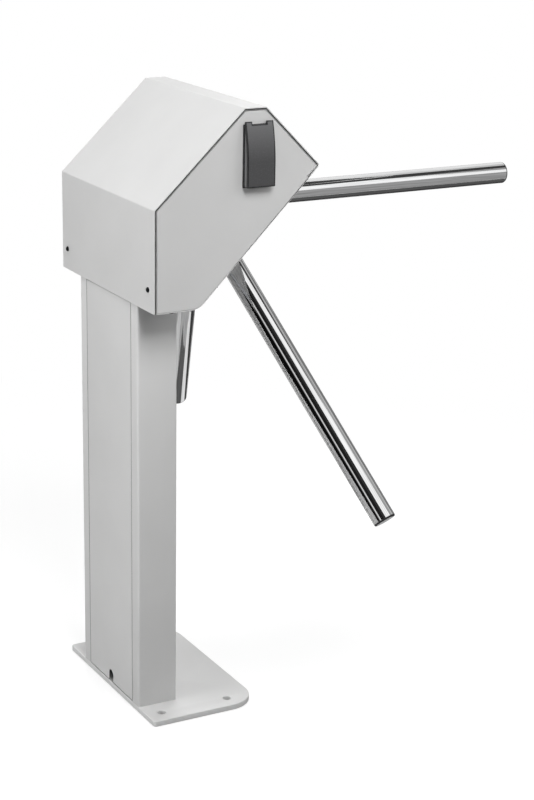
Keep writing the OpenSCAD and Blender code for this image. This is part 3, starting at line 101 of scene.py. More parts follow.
HALF = math.sqrt(0.5)
HUB = (69.294, 0.0, 859.1)
REPEAT = 1e-4
PROFILE = Basis((0, 0, 0), (1, 0, 0), (0, 0, 1), (0, -1, 0))
CROSS = Basis((0, 0, 0), (0, 1, 0), (0, 0, 1), (1, 0, 0))
ROTOR = Basis(HUB, (-HALF, 0, -HALF), (0, 1, 0), (HALF, 0, -HALF))


def unit(rows: Array) -> Array:
    """Returns each row divided by its length."""
    return rows / np.linalg.norm(rows, axis=-1, keepdims=True)


def tidy_ring(ring: Array) -> Array:
    """Returns a closed outline without the points that repeat the one before them."""
    keep = np.linalg.norm(ring - np.roll(ring, 1, axis=0), axis=1) > REPEAT
    return ring[keep]


def rounded(corners: Sequence[Sequence[float]], radii: Sequence[float], steps: int = 12) -> Array:
    """Rounds the corners of a closed outline.

    A corner's arc has its centre on the bisector, at the radius over the sine of half the corner's
    angle, and runs between the two points at the radius over the tangent of that half.

    Args:
        corners: The outline's corners in order.
        radii: One radius for each corner; 0 leaves it sharp.
        steps: Segments in an arc.

    Returns:
        The points of the rounded outline, one row each.
    """
    c = np.asarray(corners, float)
    r = np.asarray(radii, float)[:, None]
    u = unit(np.roll(c, 1, axis=0) - c)
    v = unit(np.roll(c, -1, axis=0) - c)
    half = np.arccos(np.clip((u * v).sum(1, keepdims=True), -1, 1)) / 2
    centre = c + unit(u + v) * r / np.sin(half)
    start = c + u * r / np.tan(half) - centre
    end = c + v * r / np.tan(half) - centre
    first = np.arctan2(start[:, 1], start[:, 0])
    sweep = (np.arctan2(end[:, 1], end[:, 0]) - first + np.pi) % (2 * np.pi) - np.pi
    t = np.linspace(0, 1, steps + 1)
    angle = first[:, None] + sweep[:, None] * t
    ring = centre[:, None] + r[:, None] * np.stack([np.cos(angle), np.sin(angle)], -1)
    return tidy_ring(ring.reshape(-1, 2))


def leftwards(ring: Array) -> Array:
    """Works out each point's step to the left for an inset of 1.

    The step is the sum of the normals of the point's two edges, over 1 plus their product.

    Args:
        ring: A closed outline.

    Returns:
        One step for each point.
    """
    edge = np.roll(ring, -1, axis=0) - ring
    normal = unit(np.stack([-edge[:, 1], edge[:, 0]], 1))
    before = np.roll(normal, 1, axis=0)
    return (normal + before) / (1 + (normal * before).sum(1, keepdims=True))


def oriented(ring: Array, anticlockwise: bool = True) -> Array:
    """Turns an outline to the wanted sense, by the sign of its area.

    Args:
        ring: A closed outline.
        anticlockwise: The wanted sense.

    Returns:
        The outline, reversed if its area has the other sign.
    """
    x, y = ring.T
    area = (x * np.roll(y, -1) - y * np.roll(x, -1)).sum() / 2
    return ring if (area > 0) == anticlockwise else ring[::-1]


def turns_of(count: int) -> Array:
    """Returns even angles once round, in radians, without the last, which is the first again."""
    return np.linspace(0, 2 * np.pi, count, endpoint=False)


def circle(x: float, y: float, radius: float, count: int = 40) -> Array:
    """Returns a round outline: centre plus radius times cosine and sine."""
    angle = turns_of(count)
    return np.stack([x + radius * np.cos(angle), y + radius * np.sin(angle)], 1)


def rectangle(x0: float, y0: float, x1: float, y1: float, radius: float, steps: int = 6) -> Array:
    """Returns a rectangle with round corners as an outline."""
    return rounded([(x0, y0), (x1, y0), (x1, y1), (x0, y1)], [radius] * 4, steps)


# Surfaces


@dataclass
class Shape:
    """A surface in the making: points, and faces as arrays of point numbers."""

    points: Array = field(default_factory=lambda: np.zeros((0, 3)))
    faces: list[Array] = field(default_factory=list)

    def joined(self, *others: Shape) -> Shape:
        """Joins surfaces, whose point numbers go on from one to the next.

        Args:
            *others: The surfaces to add to this one.

        Returns:
            The joined surface.
        """
        points, faces, start = [self.points], list(self.faces), len(self.points)
        for other in others:
            points.append(other.points)
            faces += [rows + start for rows in other.faces]
            start += len(other.points)
        return Shape(np.concatenate(points), faces)

    def placed(self, basis: Basis) -> Shape:
        """Returns the surface carried from local coordinates into the frame."""
        return Shape(basis.place(self.points), self.faces)

    def moved(self, x: float, y: float, z: float) -> Shape:
        """Returns the surface shifted."""
        return Shape(self.points + np.array([x, y, z]), self.faces)

    def mirrored(self) -> Shape:
        """Returns the mirror image in the plane Y = 0, with its faces turned to point outwards."""
        return Shape(self.points * np.array([1, -1, 1]), [rows[:, ::-1] for rows in self.faces])


def grid_faces(rows: int, columns: int, closed: bool) -> Array:
    """Works out the four-sided faces of a grid of points numbered row by row.

    Args:
        rows: Rows of points.
        columns: Points in a row.
        closed: Whether each row runs round to its start.

    Returns:
        One row of four point numbers for each face.
    """
    r, c = np.meshgrid(np.arange(rows - 1), np.arange(columns if closed else columns - 1), indexing="ij")
    here, beside = r * columns + c, r * columns + (c + 1) % columns
    return np.stack([here, beside, beside + columns, here + columns], -1).reshape(-1, 4)


def loft(rings: Array) -> Shape:
    """Returns the skin over an array of closed rings, shape (rings, points, 3): one grid of faces."""
    return Shape(rings.reshape(-1, 3), [grid_faces(*rings.shape[:2], closed=True)])


def cap(rings: Sequence[Array], height: float) -> Shape:
    """Makes a flat face, cut into triangles.

    Args:
        rings: The outline, and then its holes.
        height: The face's place along local Z.

    Returns:
        The face as a surface.
    """
    loops = [[Vector((x, y, 0)) for x, y in ring.tolist()] for ring in rings]
    triangles = np.array(tessellate_polygon(loops), int).reshape(-1, 3)
    flat = np.concatenate(list(rings))
    return Shape(np.column_stack([flat, np.full(len(flat), height)]), [triangles])


def stacked(ring: Array, draws: Array, heights: Array) -> Array:
    """Returns copies of an outline, each drawn in by its own distance and lifted to its own height.

    A point is the outline's point plus the draw times its leftward step, with the height as its Z.
    """
    flat = ring[None] + draws[:, None, None] * leftwards(ring)[None]
    return np.concatenate([flat, np.broadcast_to(heights[:, None, None], flat.shape[:2] + (1,))], -1)


def prism(
    outer: Array, low: float, high: float, edge: float = 0.0, holes: Sequence[Array] = (), steps: int = 3
) -> Shape:
    """A plate or bar with rounded edges: an outline carried from one height to another.

    Near each end the outline draws in by edge times (1 - sin t) while the height runs in by
    edge times (1 - cos t), t from 0 to a quarter turn. Holes widen there in the same way.

    Args:
        outer: The outline, in local X and Y.
        low: Lower end along local Z.
        high: Upper end.
        edge: Radius of the rounded edges.
        holes: Outlines of holes.
        steps: Segments in each edge's quarter circle.

    Returns:
        The closed surface in local coordinates.
    """
    t = np.linspace(0, np.pi / 2, steps + 1) if edge > 0 else np.array([np.pi / 2])
    draw = edge * (1 - np.sin(t))
    rise = edge * (1 - np.cos(t)) if edge > 0 else np.array([0.0])
    draws = np.concatenate([draw, draw[::-1]])
    heights = np.concatenate([low + rise, high - rise[::-1]])
    loops = [oriented(tidy_ring(outer))] + [oriented(tidy_ring(h), False) for h in holes]
    walls = [stacked(ring, draws, heights) for ring in loops]
    ends = [rings[0, :, :2] for rings in walls]
    shape = Shape().joined(*(loft(rings) for rings in walls))
    low_cap, high_cap = cap(ends, low), cap(ends, high)
    low_cap.faces = [rows[:, ::-1] for rows in low_cap.faces]
    return shape.joined(low_cap, high_cap)


def revolve(
    profile: Sequence[Sequence[float]], steps: int = 96, share: Array | None = None, sides: int = 6
) -> Shape:
    """A turned piece: each profile point runs round local Z.

    A point is (radius cos a, radius sin a, height). Where share is 1 the circle becomes a polygon:
    its radius is divided by cos of the angle to the nearest flat's middle.

    Args:
        profile: Rows of (radius, height).
        steps: Points round.
        share: For each profile row, how far it is a polygon, from 0 to 1.
        sides: Sides of that polygon.

    Returns:
        The surface in local coordinates.
    """
    p = np.asarray(profile, float)
    a = turns_of(steps)
    radius = np.repeat(p[:, :1], steps, 1)
    if share is not None:
        pitch = 2 * np.pi / sides
        flat = 1 / np.cos((a + pitch / 2) % pitch - pitch / 2)
        radius = radius * (1 + share[:, None] * (flat[None] - 1))
    rings = np.stack([radius * np.cos(a), radius * np.sin(a), np.repeat(p[:, 1:], steps, 1)], -1)
    return loft(rings)


def tube(path: Array, radius: float, across: Array, sides: int = 10) -> Shape:
    """A round wire along a path, closed at both ends by rings of no radius.

    At each point the ring lies on the normal, the tangent's product with a fixed direction, and on
    the tangent's product with that normal: path + radius (cos a normal + sin a second normal).

    Args:
        path: Points of the centreline.
        radius: Radius of the wire.
        across: A direction that the path never runs along.
        sides: Points round the wire.

    Returns:
        The surface in the path's coordinates.
    """
    tangent = unit(np.gradient(path, axis=0))
    normal = unit(np.cross(tangent, across))
    second = np.cross(tangent, normal)
    a = turns_of(sides)[:, None]
    rings = path[:, None] + radius * (np.cos(a) * normal[:, None] + np.sin(a) * second[:, None])
    first, last = np.repeat(path[:1, None], sides, 1), np.repeat(path[-1:, None], sides, 1)
    return loft(np.concatenate([first, rings, last]))


def arc_points(radius: float, centre: Sequence[float], first: float, last: float, steps: int) -> Array:
    """Returns points of an arc in a plane: centre plus radius at angles in degrees."""
    a = np.radians(np.linspace(first, last, steps + 1))
    return np.stack([centre[0] + radius * np.cos(a), centre[1] + radius * np.sin(a)], 1)


# Finishes


WHITE = (1.0, 1.0, 1.0, 1.0)


def opaque(colour: Triple) -> tuple[float, ...]:
    """Returns a colour with its fourth part, for no transparency."""
    return tuple(colour) + (1.0,)


def shade(colour: Triple, share: float) -> Triple:
    """Returns a colour with each part multiplied by a share, and none above 1."""
    return tuple(min(1.0, part * share) for part in colour)


class Graph:
    """The node tree of a material or of the world, with short calls to add nodes and join them."""

    def __init__(self, owner: bpy.types.Material | bpy.types.World) -> None:
        """Starts with an empty tree.

        Args:
            owner: The material or world that the tree belongs to.
        """
        owner.use_nodes = True
        self.tree = owner.node_tree
        self.tree.nodes.clear()

    def add(self, kind: str, values: dict | None = None, **options: object) -> bpy.types.Node:
        """Adds a node.

        Args:
            kind: Blender's node type without its ShaderNode prefix.
            values: Input name or number to a value or to the socket that feeds it.
            **options: Attributes of the node.

        Returns:
            The node.
        """
        node = self.tree.nodes.new("ShaderNode" + kind)
        for key, value in options.items():
            setattr(node, key, value)
        for key, value in (values or {}).items():
            self.feed(node, key, value)
        return node

    def feed(self, node: bpy.types.Node, key: str | int, value: object) -> None:
        """Sets an input to a value, or joins it to a socket.

        Args:
            node: The node.
            key: The input's name or number.
            value: The value or socket.
        """
        if isinstance(value, Socket):
            self.tree.links.new(value, node.inputs[key])
        else:
            node.inputs[key].default_value = value

    def maths(self, operation: str, first: Socket | float, second: Socket | float) -> Socket:
        """Returns the result of an operation on two values."""
        return self.add("Math", {0: first, 1: second}, operation=operation).outputs[0]

    def spread(
        self, value: Socket, low: float = 0.0, high: float = 1.0, start: float = 0.3, stop: float = 0.7
    ) -> Socket:
        """Returns a value mapped from the range start to stop to low to high, held at its ends."""
        ends = {"From Min": start, "From Max": stop, "To Min": low, "To Max": high}
        return self.add("MapRange", {"Value": value, **ends}).outputs[0]

    def seen(self) -> Socket:
        """Returns 1 for the rays of the camera, straight or through clear pieces, and 0 for others."""
        rays = self.add("LightPath").outputs
        return self.maths("MAXIMUM", rays["Is Camera Ray"], rays["Is Transmission Ray"])


class Surface(Graph):
    """The graph of a new material, which holds its output and a Principled shader."""

    def __init__(self, name: str) -> None:
        """Starts the material with its shader joined to its output.

        Args:
            name: The material's name.
        """
        self.material = bpy.data.materials.new(name)
        super().__init__(self.material)
        self.shader = self.add("BsdfPrincipled")
        self.output = self.add("OutputMaterial", {"Surface": self.shader.outputs["BSDF"]})
        self.coords = self.add("TexCoord").outputs["Object"]

    def stretched(self, scale: Triple, turn: Triple = (0, 0, 0)) -> Socket:
        """Returns object coordinates turned and scaled along each axis."""
        turned = self.add("Mapping", {"Vector": self.coords, "Rotation": turn}, vector_type="TEXTURE")
        return self.add("Mapping", {"Vector": turned.outputs[0], "Scale": scale}).outputs[0]

    def noise(
        self, scale: float, detail: float = 2.0, rough: float = 0.5, where: Socket | None = None
    ) -> Socket:
        """Returns the value of a noise texture over object coordinates in metres."""
        values = {"Vector": where or self.coords, "Scale": scale, "Detail": detail, "Roughness": rough}
        return self.add("TexNoise", values).outputs[0]

    def tint(self, value: Socket, dark: Triple | Socket, light: Triple | Socket) -> Socket:
        """Mixes two colours.

        Args:
            value: From 0, the dark one, to 1, the light one.
            dark: A colour, or the socket that gives it.
            light: The other.

        Returns:
            The mixed colour.
        """
        node = self.add("Mix", {0: value}, data_type="RGBA")
        for number, colour in ((6, dark), (7, light)):
            self.feed(node, number, colour if isinstance(colour, Socket) else opaque(colour))
        return node.outputs[2]

    def bump(self, height: Socket, depth: float, strength: float, under: Socket | None = None) -> Socket:
        """Makes a bumpy surface.

        Args:
            height: The pattern, from 0 to 1.
            depth: Its depth in metres.
            strength: How far it shows, from 0 to 1.
            under: The normal of a coarser or finer bump below it.

        Returns:
            The normal.
        """
        node = self.add("Bump", {"Height": height, "Distance": depth, "Strength": strength})
        if under is not None:
            self.feed(node, "Normal", under)
        return node.outputs[0]

    def glow(self, strength: Socket | float) -> Socket:
        """Returns an emission of white at a strength."""
        return self.add("Emission", {"Color": WHITE, "Strength": strength}).outputs[0]

    def close(self, surface: Socket) -> None:
        """Joins another shader to the material's output."""
        self.feed(self.output, "Surface", surface)

    def finish(self, **inputs: object) -> bpy.types.Material:
        """Feeds the shader's inputs.

        Args:
            **inputs: Values or sockets by the input's name, with underscores for spaces.

        Returns:
            The material.
        """
        for key, value in inputs.items():
            self.feed(self.shader, key.replace("_", " "), value)
        return self.material


@dataclass(frozen=True)
class PowderCoat:
    """Baked powder: a fine orange peel, a hint of grain and slow drifts of tone."""

    name: str
    colour: Triple
    roughness: float = 0.4
    dark: float = 0.975
    light: float = 1.015
    drift_scale: float = 9.0
    peel_scale: float = 700.0
    peel_depth: float = 0.00001
    grain_scale: float = 2600.0
    grain_depth: float = 0.0000025

    def build(self) -> bpy.types.Material:
        """Makes the material.

        The grain's bump lies under the peel's.

        Returns:
            The material.
        """
        g = Surface(self.name)
        drift = g.spread(g.noise(self.drift_scale, detail=3.0))
        peel = g.noise(self.peel_scale, detail=3.0, rough=0.6)
        grain = g.bump(g.noise(self.grain_scale), self.grain_depth, strength=0.35)
        return g.finish(
            Base_Color=g.tint(drift, shade(self.colour, self.dark), shade(self.colour, self.light)),
            Roughness=g.spread(peel, self.roughness - 0.05, self.roughness + 0.07),
            Normal=g.bump(peel, self.peel_depth, strength=0.5, under=grain), IOR=1.5)


@dataclass(frozen=True)
class Polished:
    """Bright plated tube: almost a mirror, with faint haze and hair lines along one direction."""

    name: str
    colour: Triple = (0.965, 0.968, 0.972)
    roughness: float = 0.03
    along: Triple = (0.0, 0.0, 0.0)
    dark: float = 0.78
    line_scale: Triple = (9.0, 420.0, 420.0)
    line_depth: float = 0.0000012
    haze_scale: float = 24.0
    haze: float = 0.03

    def build(self) -> bpy.types.Material:
        """Makes the material.

        The haze adds to the roughness of the hair lines.

        Returns:
            The material.
        """
        g = Surface(self.name)
        lines = g.noise(1.0, detail=3.0, rough=0.65, where=g.stretched(self.line_scale, self.along))
        haze = g.spread(g.noise(self.haze_scale, detail=4.0), high=self.haze)
        rough = g.spread(lines, self.roughness - 0.02, self.roughness + 0.03)
        streaks = g.spread(lines, start=0.35, stop=0.65)
        return g.finish(
            Base_Color=g.tint(streaks, shade(self.colour, self.dark), self.colour), Metallic=1.0,
            Roughness=g.maths("ADD", haze, rough), Normal=g.bump(lines, self.line_depth, strength=0.35))


@dataclass(frozen=True)
class BareMetal:
    """Rolled, cast or plated metal with grain, cloudiness and small scratches."""

    name: str
    colour: Triple
    roughness: float
    stretch: Triple = (300.0, 300.0, 300.0)
    grain: float = 0.00001
    dark: float = 0.88
    light: float = 1.06
    cloud_scale: float = 30.0
    scratch_scale: Triple = (30.0, 30.0, 1500.0)
    scratch_turn: Triple = (0.4, 0.7, 0.2)
    dulling: float = 0.16

    def build(self) -> bpy.types.Material:
        """Makes the material.

        The roughness is the greater of grain and scratches, up to a limit.

        Returns:
            The material.
        """
        g = Surface(self.name)
        grain = g.noise(1.0, detail=4.0, rough=0.6, where=g.stretched(self.stretch))
        cloud = g.spread(g.noise(self.cloud_scale, detail=3.0))
        scratch = g.noise(1.0, where=g.stretched(self.scratch_scale, self.scratch_turn))
        worn = g.spread(grain, self.roughness - 0.08, self.roughness + 0.1)
        both = g.maths("MAXIMUM", worn, g.spread(scratch, start=0.62))
        return g.finish(
            Base_Color=g.tint(cloud, shade(self.colour, self.dark), shade(self.colour, self.light)),
            Metallic=1.0, Roughness=g.maths("MINIMUM", both, self.roughness + self.dulling),
            Normal=g.bump(grain, self.grain, strength=0.5))


@dataclass(frozen=True)
class MouldedPlastic:
    """Moulded plastic with a spark-eroded grain and fine lighter specks."""

    name: str
    colour: Triple
    roughness: float
    specks: float = 0.0
    speck_stop: float = 0.7
    speck_light: float = 2.6
    speck_scale: float = 420.0
    cloud_scale: float = 40.0
    dark: float = 0.9
    light: float = 1.08
    grain_scale: float = 900.0
    grain_depth: float = 0.00003

    def base(self, g: Surface) -> Socket:
        """Returns the colour under the specks, which drifts in slow clouds."""
        cloud = g.spread(g.noise(self.cloud_scale, detail=3.0))
        return g.tint(cloud, shade(self.colour, self.dark), shade(self.colour, self.light))

    def build(self) -> bpy.types.Material:
        """Makes the material.

        The specks lie over the base colour, and the grain is in the roughness and the bump.

        Returns:
            The material.
        """
        g = Surface(self.name)
        grain = g.noise(self.grain_scale, detail=3.0, rough=0.6)
        speck = g.spread(g.noise(self.speck_scale, rough=0.7), 0.0, self.specks, 0.52, self.speck_stop)
        return g.finish(
            Base_Color=g.tint(speck, self.base(g), shade(self.colour, self.speck_light)),
            Roughness=g.spread(grain, self.roughness - 0.06, self.roughness + 0.08),
            Normal=g.bump(grain, self.grain_depth, strength=0.5))


@dataclass(frozen=True)
class SheenPaintedPlastic(MouldedPlastic):
    """Smoked plastic whose colour grows paler towards its upper edge: a painted sheen where the curved top
    faces the light.
    """

    speck_stop: float = 0.72
    speck_light: float = 2.2
    # heights in metres between which the colour pales by the pale share: painted sheen
    low: float = 0.957
    high: float = 1.016
    pale: float = 1.9

    def base(self, g: Surface) -> Socket:
        """Makes the colour under the specks, which grows paler between two heights in metres: painted sheen
        on the upper face.

        Args:
            g: The material's graph.

        Returns:
            The colour.
        """
        height = g.add("SeparateXYZ", {0: g.coords}).outputs[2]
        rise = g.spread(height, 0.0, 1.0, self.low, self.high)
        return g.tint(rise, self.colour, shade(self.colour, self.pale))


@dataclass(frozen=True)
class WoundWire:
    """A coil of lacquered wire: fine turns side by side along one axis."""

    name: str
    colour: Triple
    pitch: float = 0.001886
    depth: float = 0.00012
    dark: float = 0.45
    light: float = 1.05

    def build(self) -> bpy.types.Material:
        """Makes the material.

        A wave texture at scale 1 repeats every tenth of pi. The colour darkens between the turns: painted
        shade in the crevices.

        Returns:
            The material.
        """
        g = Surface(self.name)
        scale = math.pi / 10 / self.pitch
        values = {"Vector": g.coords, "Scale": scale, "Distortion": 0.4, "Detail": 1.0}
        turns = g.add("TexWave", values, bands_direction="Y").outputs[1]
        # painted shade: the colour darkens in the crevices between the turns
        colour = g.tint(turns, shade(self.colour, self.dark), shade(self.colour, self.light))
        normal = g.bump(turns, self.depth, strength=0.8)
        return g.finish(Base_Color=colour, Metallic=0.7, Roughness=0.32, Normal=normal)


@dataclass(frozen=True)
class SolderMask:
    """A circuit board: lacquer over a faint pattern of tracks and pads."""

    name: str
    colour: Triple
    cell_scale: float = 260.0
    depth: float = 0.00003
    light: float = 1.7

    def build(self) -> bpy.types.Material:
        """Makes the material.

        Tracks run along the edges of square cells.

        Returns:
            The material.
        """
        g = Surface(self.name)
        cells = g.add("TexVoronoi", {"Vector": g.coords, "Scale": self.cell_scale},
                      feature="DISTANCE_TO_EDGE", distance="CHEBYCHEV")
        track = g.spread(cells.outputs[0], low=1.0, high=0.0, start=0.02, stop=0.1)
        colour = g.tint(track, self.colour, shade(self.colour, self.light))
        return g.finish(Base_Color=colour, Roughness=0.28, Normal=g.bump(track, self.depth, strength=0.5))


POWDER = PowderCoat("powder_light_grey", (0.655, 0.655, 0.652))
CHROME = Polished("chrome_level_arm")
ZINC = BareMetal("zinc_plate", (0.60, 0.61, 0.63), 0.36)
STEEL = BareMetal("machined_steel", (0.46, 0.47, 0.49), 0.28, (60.0, 1400.0, 60.0))
CAST = BareMetal("blasted_aluminium", (0.62, 0.63, 0.64), 0.42, (900.0, 900.0, 900.0), 0.00003)
BLACK_STEEL = BareMetal("black_oxide", (0.035, 0.036, 0.04), 0.38, (700.0, 700.0, 700.0))
BRONZE = BareMetal("turned_bronze", (0.62, 0.42, 0.18), 0.3, (60.0, 1200.0, 60.0))
BLACK_PLASTIC = MouldedPlastic("black_plastic", (0.022, 0.022, 0.024), 0.5)
BEZEL_PLASTIC = MouldedPlastic("bezel_plastic", (0.05, 0.05, 0.052), 0.45, 0.1)
CAP_RIM = MouldedPlastic("black_cap_rim", (0.014, 0.014, 0.015), 0.5, 0.1)
# near-black fill for the seams and grooves between sheets: painted shade in the gaps
GAP_SHADE = MouldedPlastic("painted_gap_shade", (0.010, 0.010, 0.011), 0.75)
SMOKED = MouldedPlastic("smoked_plastic", (0.115, 0.115, 0.118), 0.42, 0.35)
# the lens body, almost black: a painted dark reflection along the lens's rounded edges
LENS_EDGE_REFLECTION = MouldedPlastic("smoked_lens_painted_reflection", (0.012, 0.012, 0.013), 0.3)
# paler smoked plastic for the lens's side strips: a painted highlight on the side walls
LENS_SIDE_HIGHLIGHT = MouldedPlastic("smoked_lens_painted_highlight", (0.18, 0.18, 0.184), 0.4, 0.1)
# the lens face: smoked plastic with a painted sheen towards its top
LENS_FACE = SheenPaintedPlastic("smoked_lens_face", (0.066, 0.066, 0.068), 0.42, 0.3)
COPPER = WoundWire("wound_copper", (0.55, 0.23, 0.10))
BOARD = SolderMask("solder_mask", (0.02, 0.11, 0.05))
Finish = PowderCoat | Polished | BareMetal | MouldedPlastic | WoundWire | SolderMask


class Palette:
    """Keeps each finish's material once it is made."""

    def __init__(self) -> None:
        """Starts empty."""
        self.made: dict[str, bpy.types.Material] = {}

    def of(self, finish: Finish) -> bpy.types.Material:
        """Finds the material of a finish, and makes it on first use.

        Args:
            finish: The finish.

        Returns:
            Its material.
        """
        if finish.name not in self.made:
            self.made[finish.name] = finish.build()
        return self.made[finish.name]


PALETTE = Palette()
CARRIED: dict[Slot, Finish] = {
    Slot.POWDER: POWDER, Slot.ZINC: ZINC, Slot.STEEL: STEEL, Slot.CHROME: CHROME, Slot.CAST: CAST,
    Slot.BLACK_STEEL: BLACK_STEEL, Slot.BLACK_PLASTIC: BLACK_PLASTIC, Slot.SMOKED: SMOKED,
    Slot.COPPER: COPPER, Slot.BRONZE: BRONZE, Slot.BOARD: BOARD,
}


# Making pieces


MERGE = 2e-6
SLIVER = 1e-6
SMOOTH_ANGLE = math.radians(32)
BEVEL_ANGLE = math.radians(38)
BEVEL_STEPS = 3


@dataclass(frozen=True)
class Dress:
    """How a new piece is finished, what it rides on and what it stands for."""

    finish: Finish
    slot: Slot
    body: str = "stand"
    replaces: tuple[str, ...] = ()
    bevel: float = 0.0


def new_mesh(name: str, points: Array, faces: Sequence[Array]) -> bpy.types.Mesh:
    """Makes a mesh.

    Args:
        name: Its name.
        points: Its points in metres.
        faces: Its faces, as arrays of point numbers.

    Returns:
        The mesh.
    """
    mesh = bpy.data.meshes.new(name)
    mesh.from_pydata(points.tolist(), [], [row for rows in faces for row in rows.tolist()])
    return mesh


def put(name: str, data: bpy.types.ID) -> bpy.types.Object:
    """Puts a mesh, lamp or camera into the scene.

    Args:
        name: The object's name.
        data: What it shows.

    Returns:
        The object.
    """
    thing = bpy.data.objects.new(name, data)
    bpy.context.scene.collection.objects.link(thing)
    return thing


def make_piece(name: str, shape: Shape, dress: Dress) -> None:
    """Puts a surface into a mesh object that stands at the origin and rides on its body.

    Args:
        name: The piece's name.
        shape: Its surface in millimetres in the frame.
        dress: Its finish, body and the nodes it stands for.
    """
    mesh = new_mesh(name, shape.points * METRE, shape.faces)
    work = bmesh.new()
    work.from_mesh(mesh)
    bmesh.ops.remove_doubles(work, verts=work.verts, dist=MERGE)
    bmesh.ops.dissolve_degenerate(work, edges=work.edges, dist=SLIVER)
    bmesh.ops.recalc_face_normals(work, faces=work.faces)
    work.to_mesh(mesh)
    work.free()
    mesh.shade_smooth()
    mesh.set_sharp_from_angle(angle=SMOOTH_ANGLE)
    mesh.materials.append(PALETTE.of(dress.finish))
    piece = put(name, mesh)
    if dress.bevel:
        soften = piece.modifiers.new("edges", "BEVEL")
        soften.width = dress.bevel * METRE
        soften.segments = BEVEL_STEPS
        soften.limit_method = "ANGLE"
        soften.angle_limit = BEVEL_ANGLE
        soften.use_clamp_overlap = True
    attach(piece, dress.body)
    if dress.replaces:
        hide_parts(*dress.replaces)
    LOG.info("made %s: %d points, %d faces", name, len(mesh.vertices), len(mesh.polygons))


def pair(shape: Shape) -> Shape:
    """Returns a surface together with its mirror image in the plane Y = 0."""
    return shape.joined(shape.mirrored())


def all_of(shapes: Sequence[Shape]) -> Shape:
    """Returns several surfaces as one."""
    return Shape().joined(*shapes)


# Sub-assemblies


@dataclass
class BasePlate:
    """The floor plate, with two large round corners at the passage side."""

    x: tuple[float, float] = (-90.0, 111.0)
    half_w: float = 177.5
    thickness: float = 10.0
    front_r: float = 50.0
    rear_r: float = 6.0
    hole_x: float = 62.5
    hole_y: float = 149.0
    hole_r: float = 7.0
    cable_x: float = -54.0
    cable_r: float = 18.0
    edge: float = 1.4

    def anchor_rings(self, radius: float) -> list[Array]:
        """Returns round outlines of a radius at the four anchor holes."""
        return [circle(sx * self.hole_x, sy * self.hole_y, radius) for sx in (-1, 1) for sy in (-1, 1)]

    def build(self) -> None:
        """Makes the plate as a prism with rounded edges and softened holes."""
        (low, high), w = self.x, self.half_w
        outline = rounded([(low, -w), (high, -w), (high, w), (low, w)],
                          [self.rear_r, self.front_r, self.front_r, self.rear_r], 24)
        holes = self.anchor_rings(self.hole_r) + [circle(self.cable_x, 0, self.cable_r)]
        shape = prism(outline, 0, self.thickness, self.edge, holes, 4)
        make_piece("base_plate_body", shape, Dress(POWDER, Slot.POWDER, replaces=("base_plate",)))


@dataclass
class Post:
    """The folded post and its rear cover."""

    x: tuple[float, float] = (-90.0, -18.0)
    half_w: float = 115.0
    sheet: float = 2.5
    bend_r: float = 4.0
    z: tuple[float, float] = (10.0, 724.0)
    lip_y: float = 89.7
    lip_r: float = 0.5
    edge: float = 0.3
    cover_half_w: float = 88.0
    cover_sheet: float = 2.0
    cover_edge: float = 0.7
    cover_fold: float = 12.0
    cover_z: tuple[float, float] = (12.5, 720.0)
    fold_start: float = 1.0
    fold_edge: float = 0.5
    notch_half_w: float = 9.0
    notch_top: float = 33.0
    # recess, depth and corner radius of the groove strips, which are painted shade
    strip_recess: float = 0.5
    strip_depth: float = 2.0
    strip_r: float = 0.1

    def channel(self) -> Shape:
        """Makes the channel: its folded section, a closed band of two parallel outlines, carried up.

        Returns:
            The channel in the frame.
        """
        (x0, x1), y, t, r, lip = self.x, self.half_w, self.sheet, self.bend_r, self.lip_y
        outer = [(x0, lip), (x0, y), (x1, y), (x1, -y), (x0, -y), (x0, -lip)]
        inner = [(x0 + t, -lip), (x0 + t, -y + t), (x1 - t, -y + t), (x1 - t, y - t), (x0 + t, y - t),
                 (x0 + t, lip)]
        radii = [self.lip_r, *[r] * 4, self.lip_r, self.lip_r, *[r - t] * 4, self.lip_r]
        return prism(rounded(outer + inner, radii, 8), *self.z, self.edge, steps=2)

    def cover(self) -> Shape:
        """Makes the cover: a panel with the cable notch in its lower edge, and its two folded sides.

        The panel's outline lies in Y and Z and is carried along X, and each fold is a bar carried the
        same way.

        Returns:
            The cover in the frame.
        """
        x0, y, t = self.x[0], self.cover_half_w, self.cover_sheet
        low, high = self.cover_z
        n = self.notch_half_w
        arch = arc_points(n, (0, self.notch_top - n), 180, 0, 20)
        outline = np.concatenate([[(-y, low), (-n, low)], arch, [(n, low), (y, low), (y, high), (-y, high)]])
        shape = prism(outline, x0, x0 + t, self.cover_edge).placed(CROSS)
        fold = rectangle(y - t, low, y, high, self.edge, 2)
        side = prism(fold, x0 + self.fold_start, x0 + self.cover_fold, self.fold_edge, steps=2)
        return shape.joined(pair(side.placed(CROSS)))

    def groove_shades(self) -> Shape:
        """Makes the black strips in the two grooves between the channel's lips and the cover: painted shade
        in the gaps.

        Returns:
            Both strips in the frame.
        """
        low, high = self.cover_z
        x0 = self.x[0] + self.strip_recess
        section = rectangle(self.cover_half_w, low, self.lip_y, high, self.strip_r, 2)
        return pair(prism(section, x0, x0 + self.strip_depth).placed(CROSS))

    def build(self) -> None:
        """Makes the channel, the cover and the black strips of painted shade in its grooves."""
        # black strips: painted shade in the grooves
        make_piece("cover_groove_shade_strips", self.groove_shades(), Dress(GAP_SHADE, Slot.BLACK_PLASTIC))
        make_piece("post_channel", self.channel(), Dress(POWDER, Slot.POWDER, replaces=("post",)))
        make_piece("post_rear_cover", self.cover(), Dress(POWDER, Slot.POWDER, replaces=("post_cover",)))


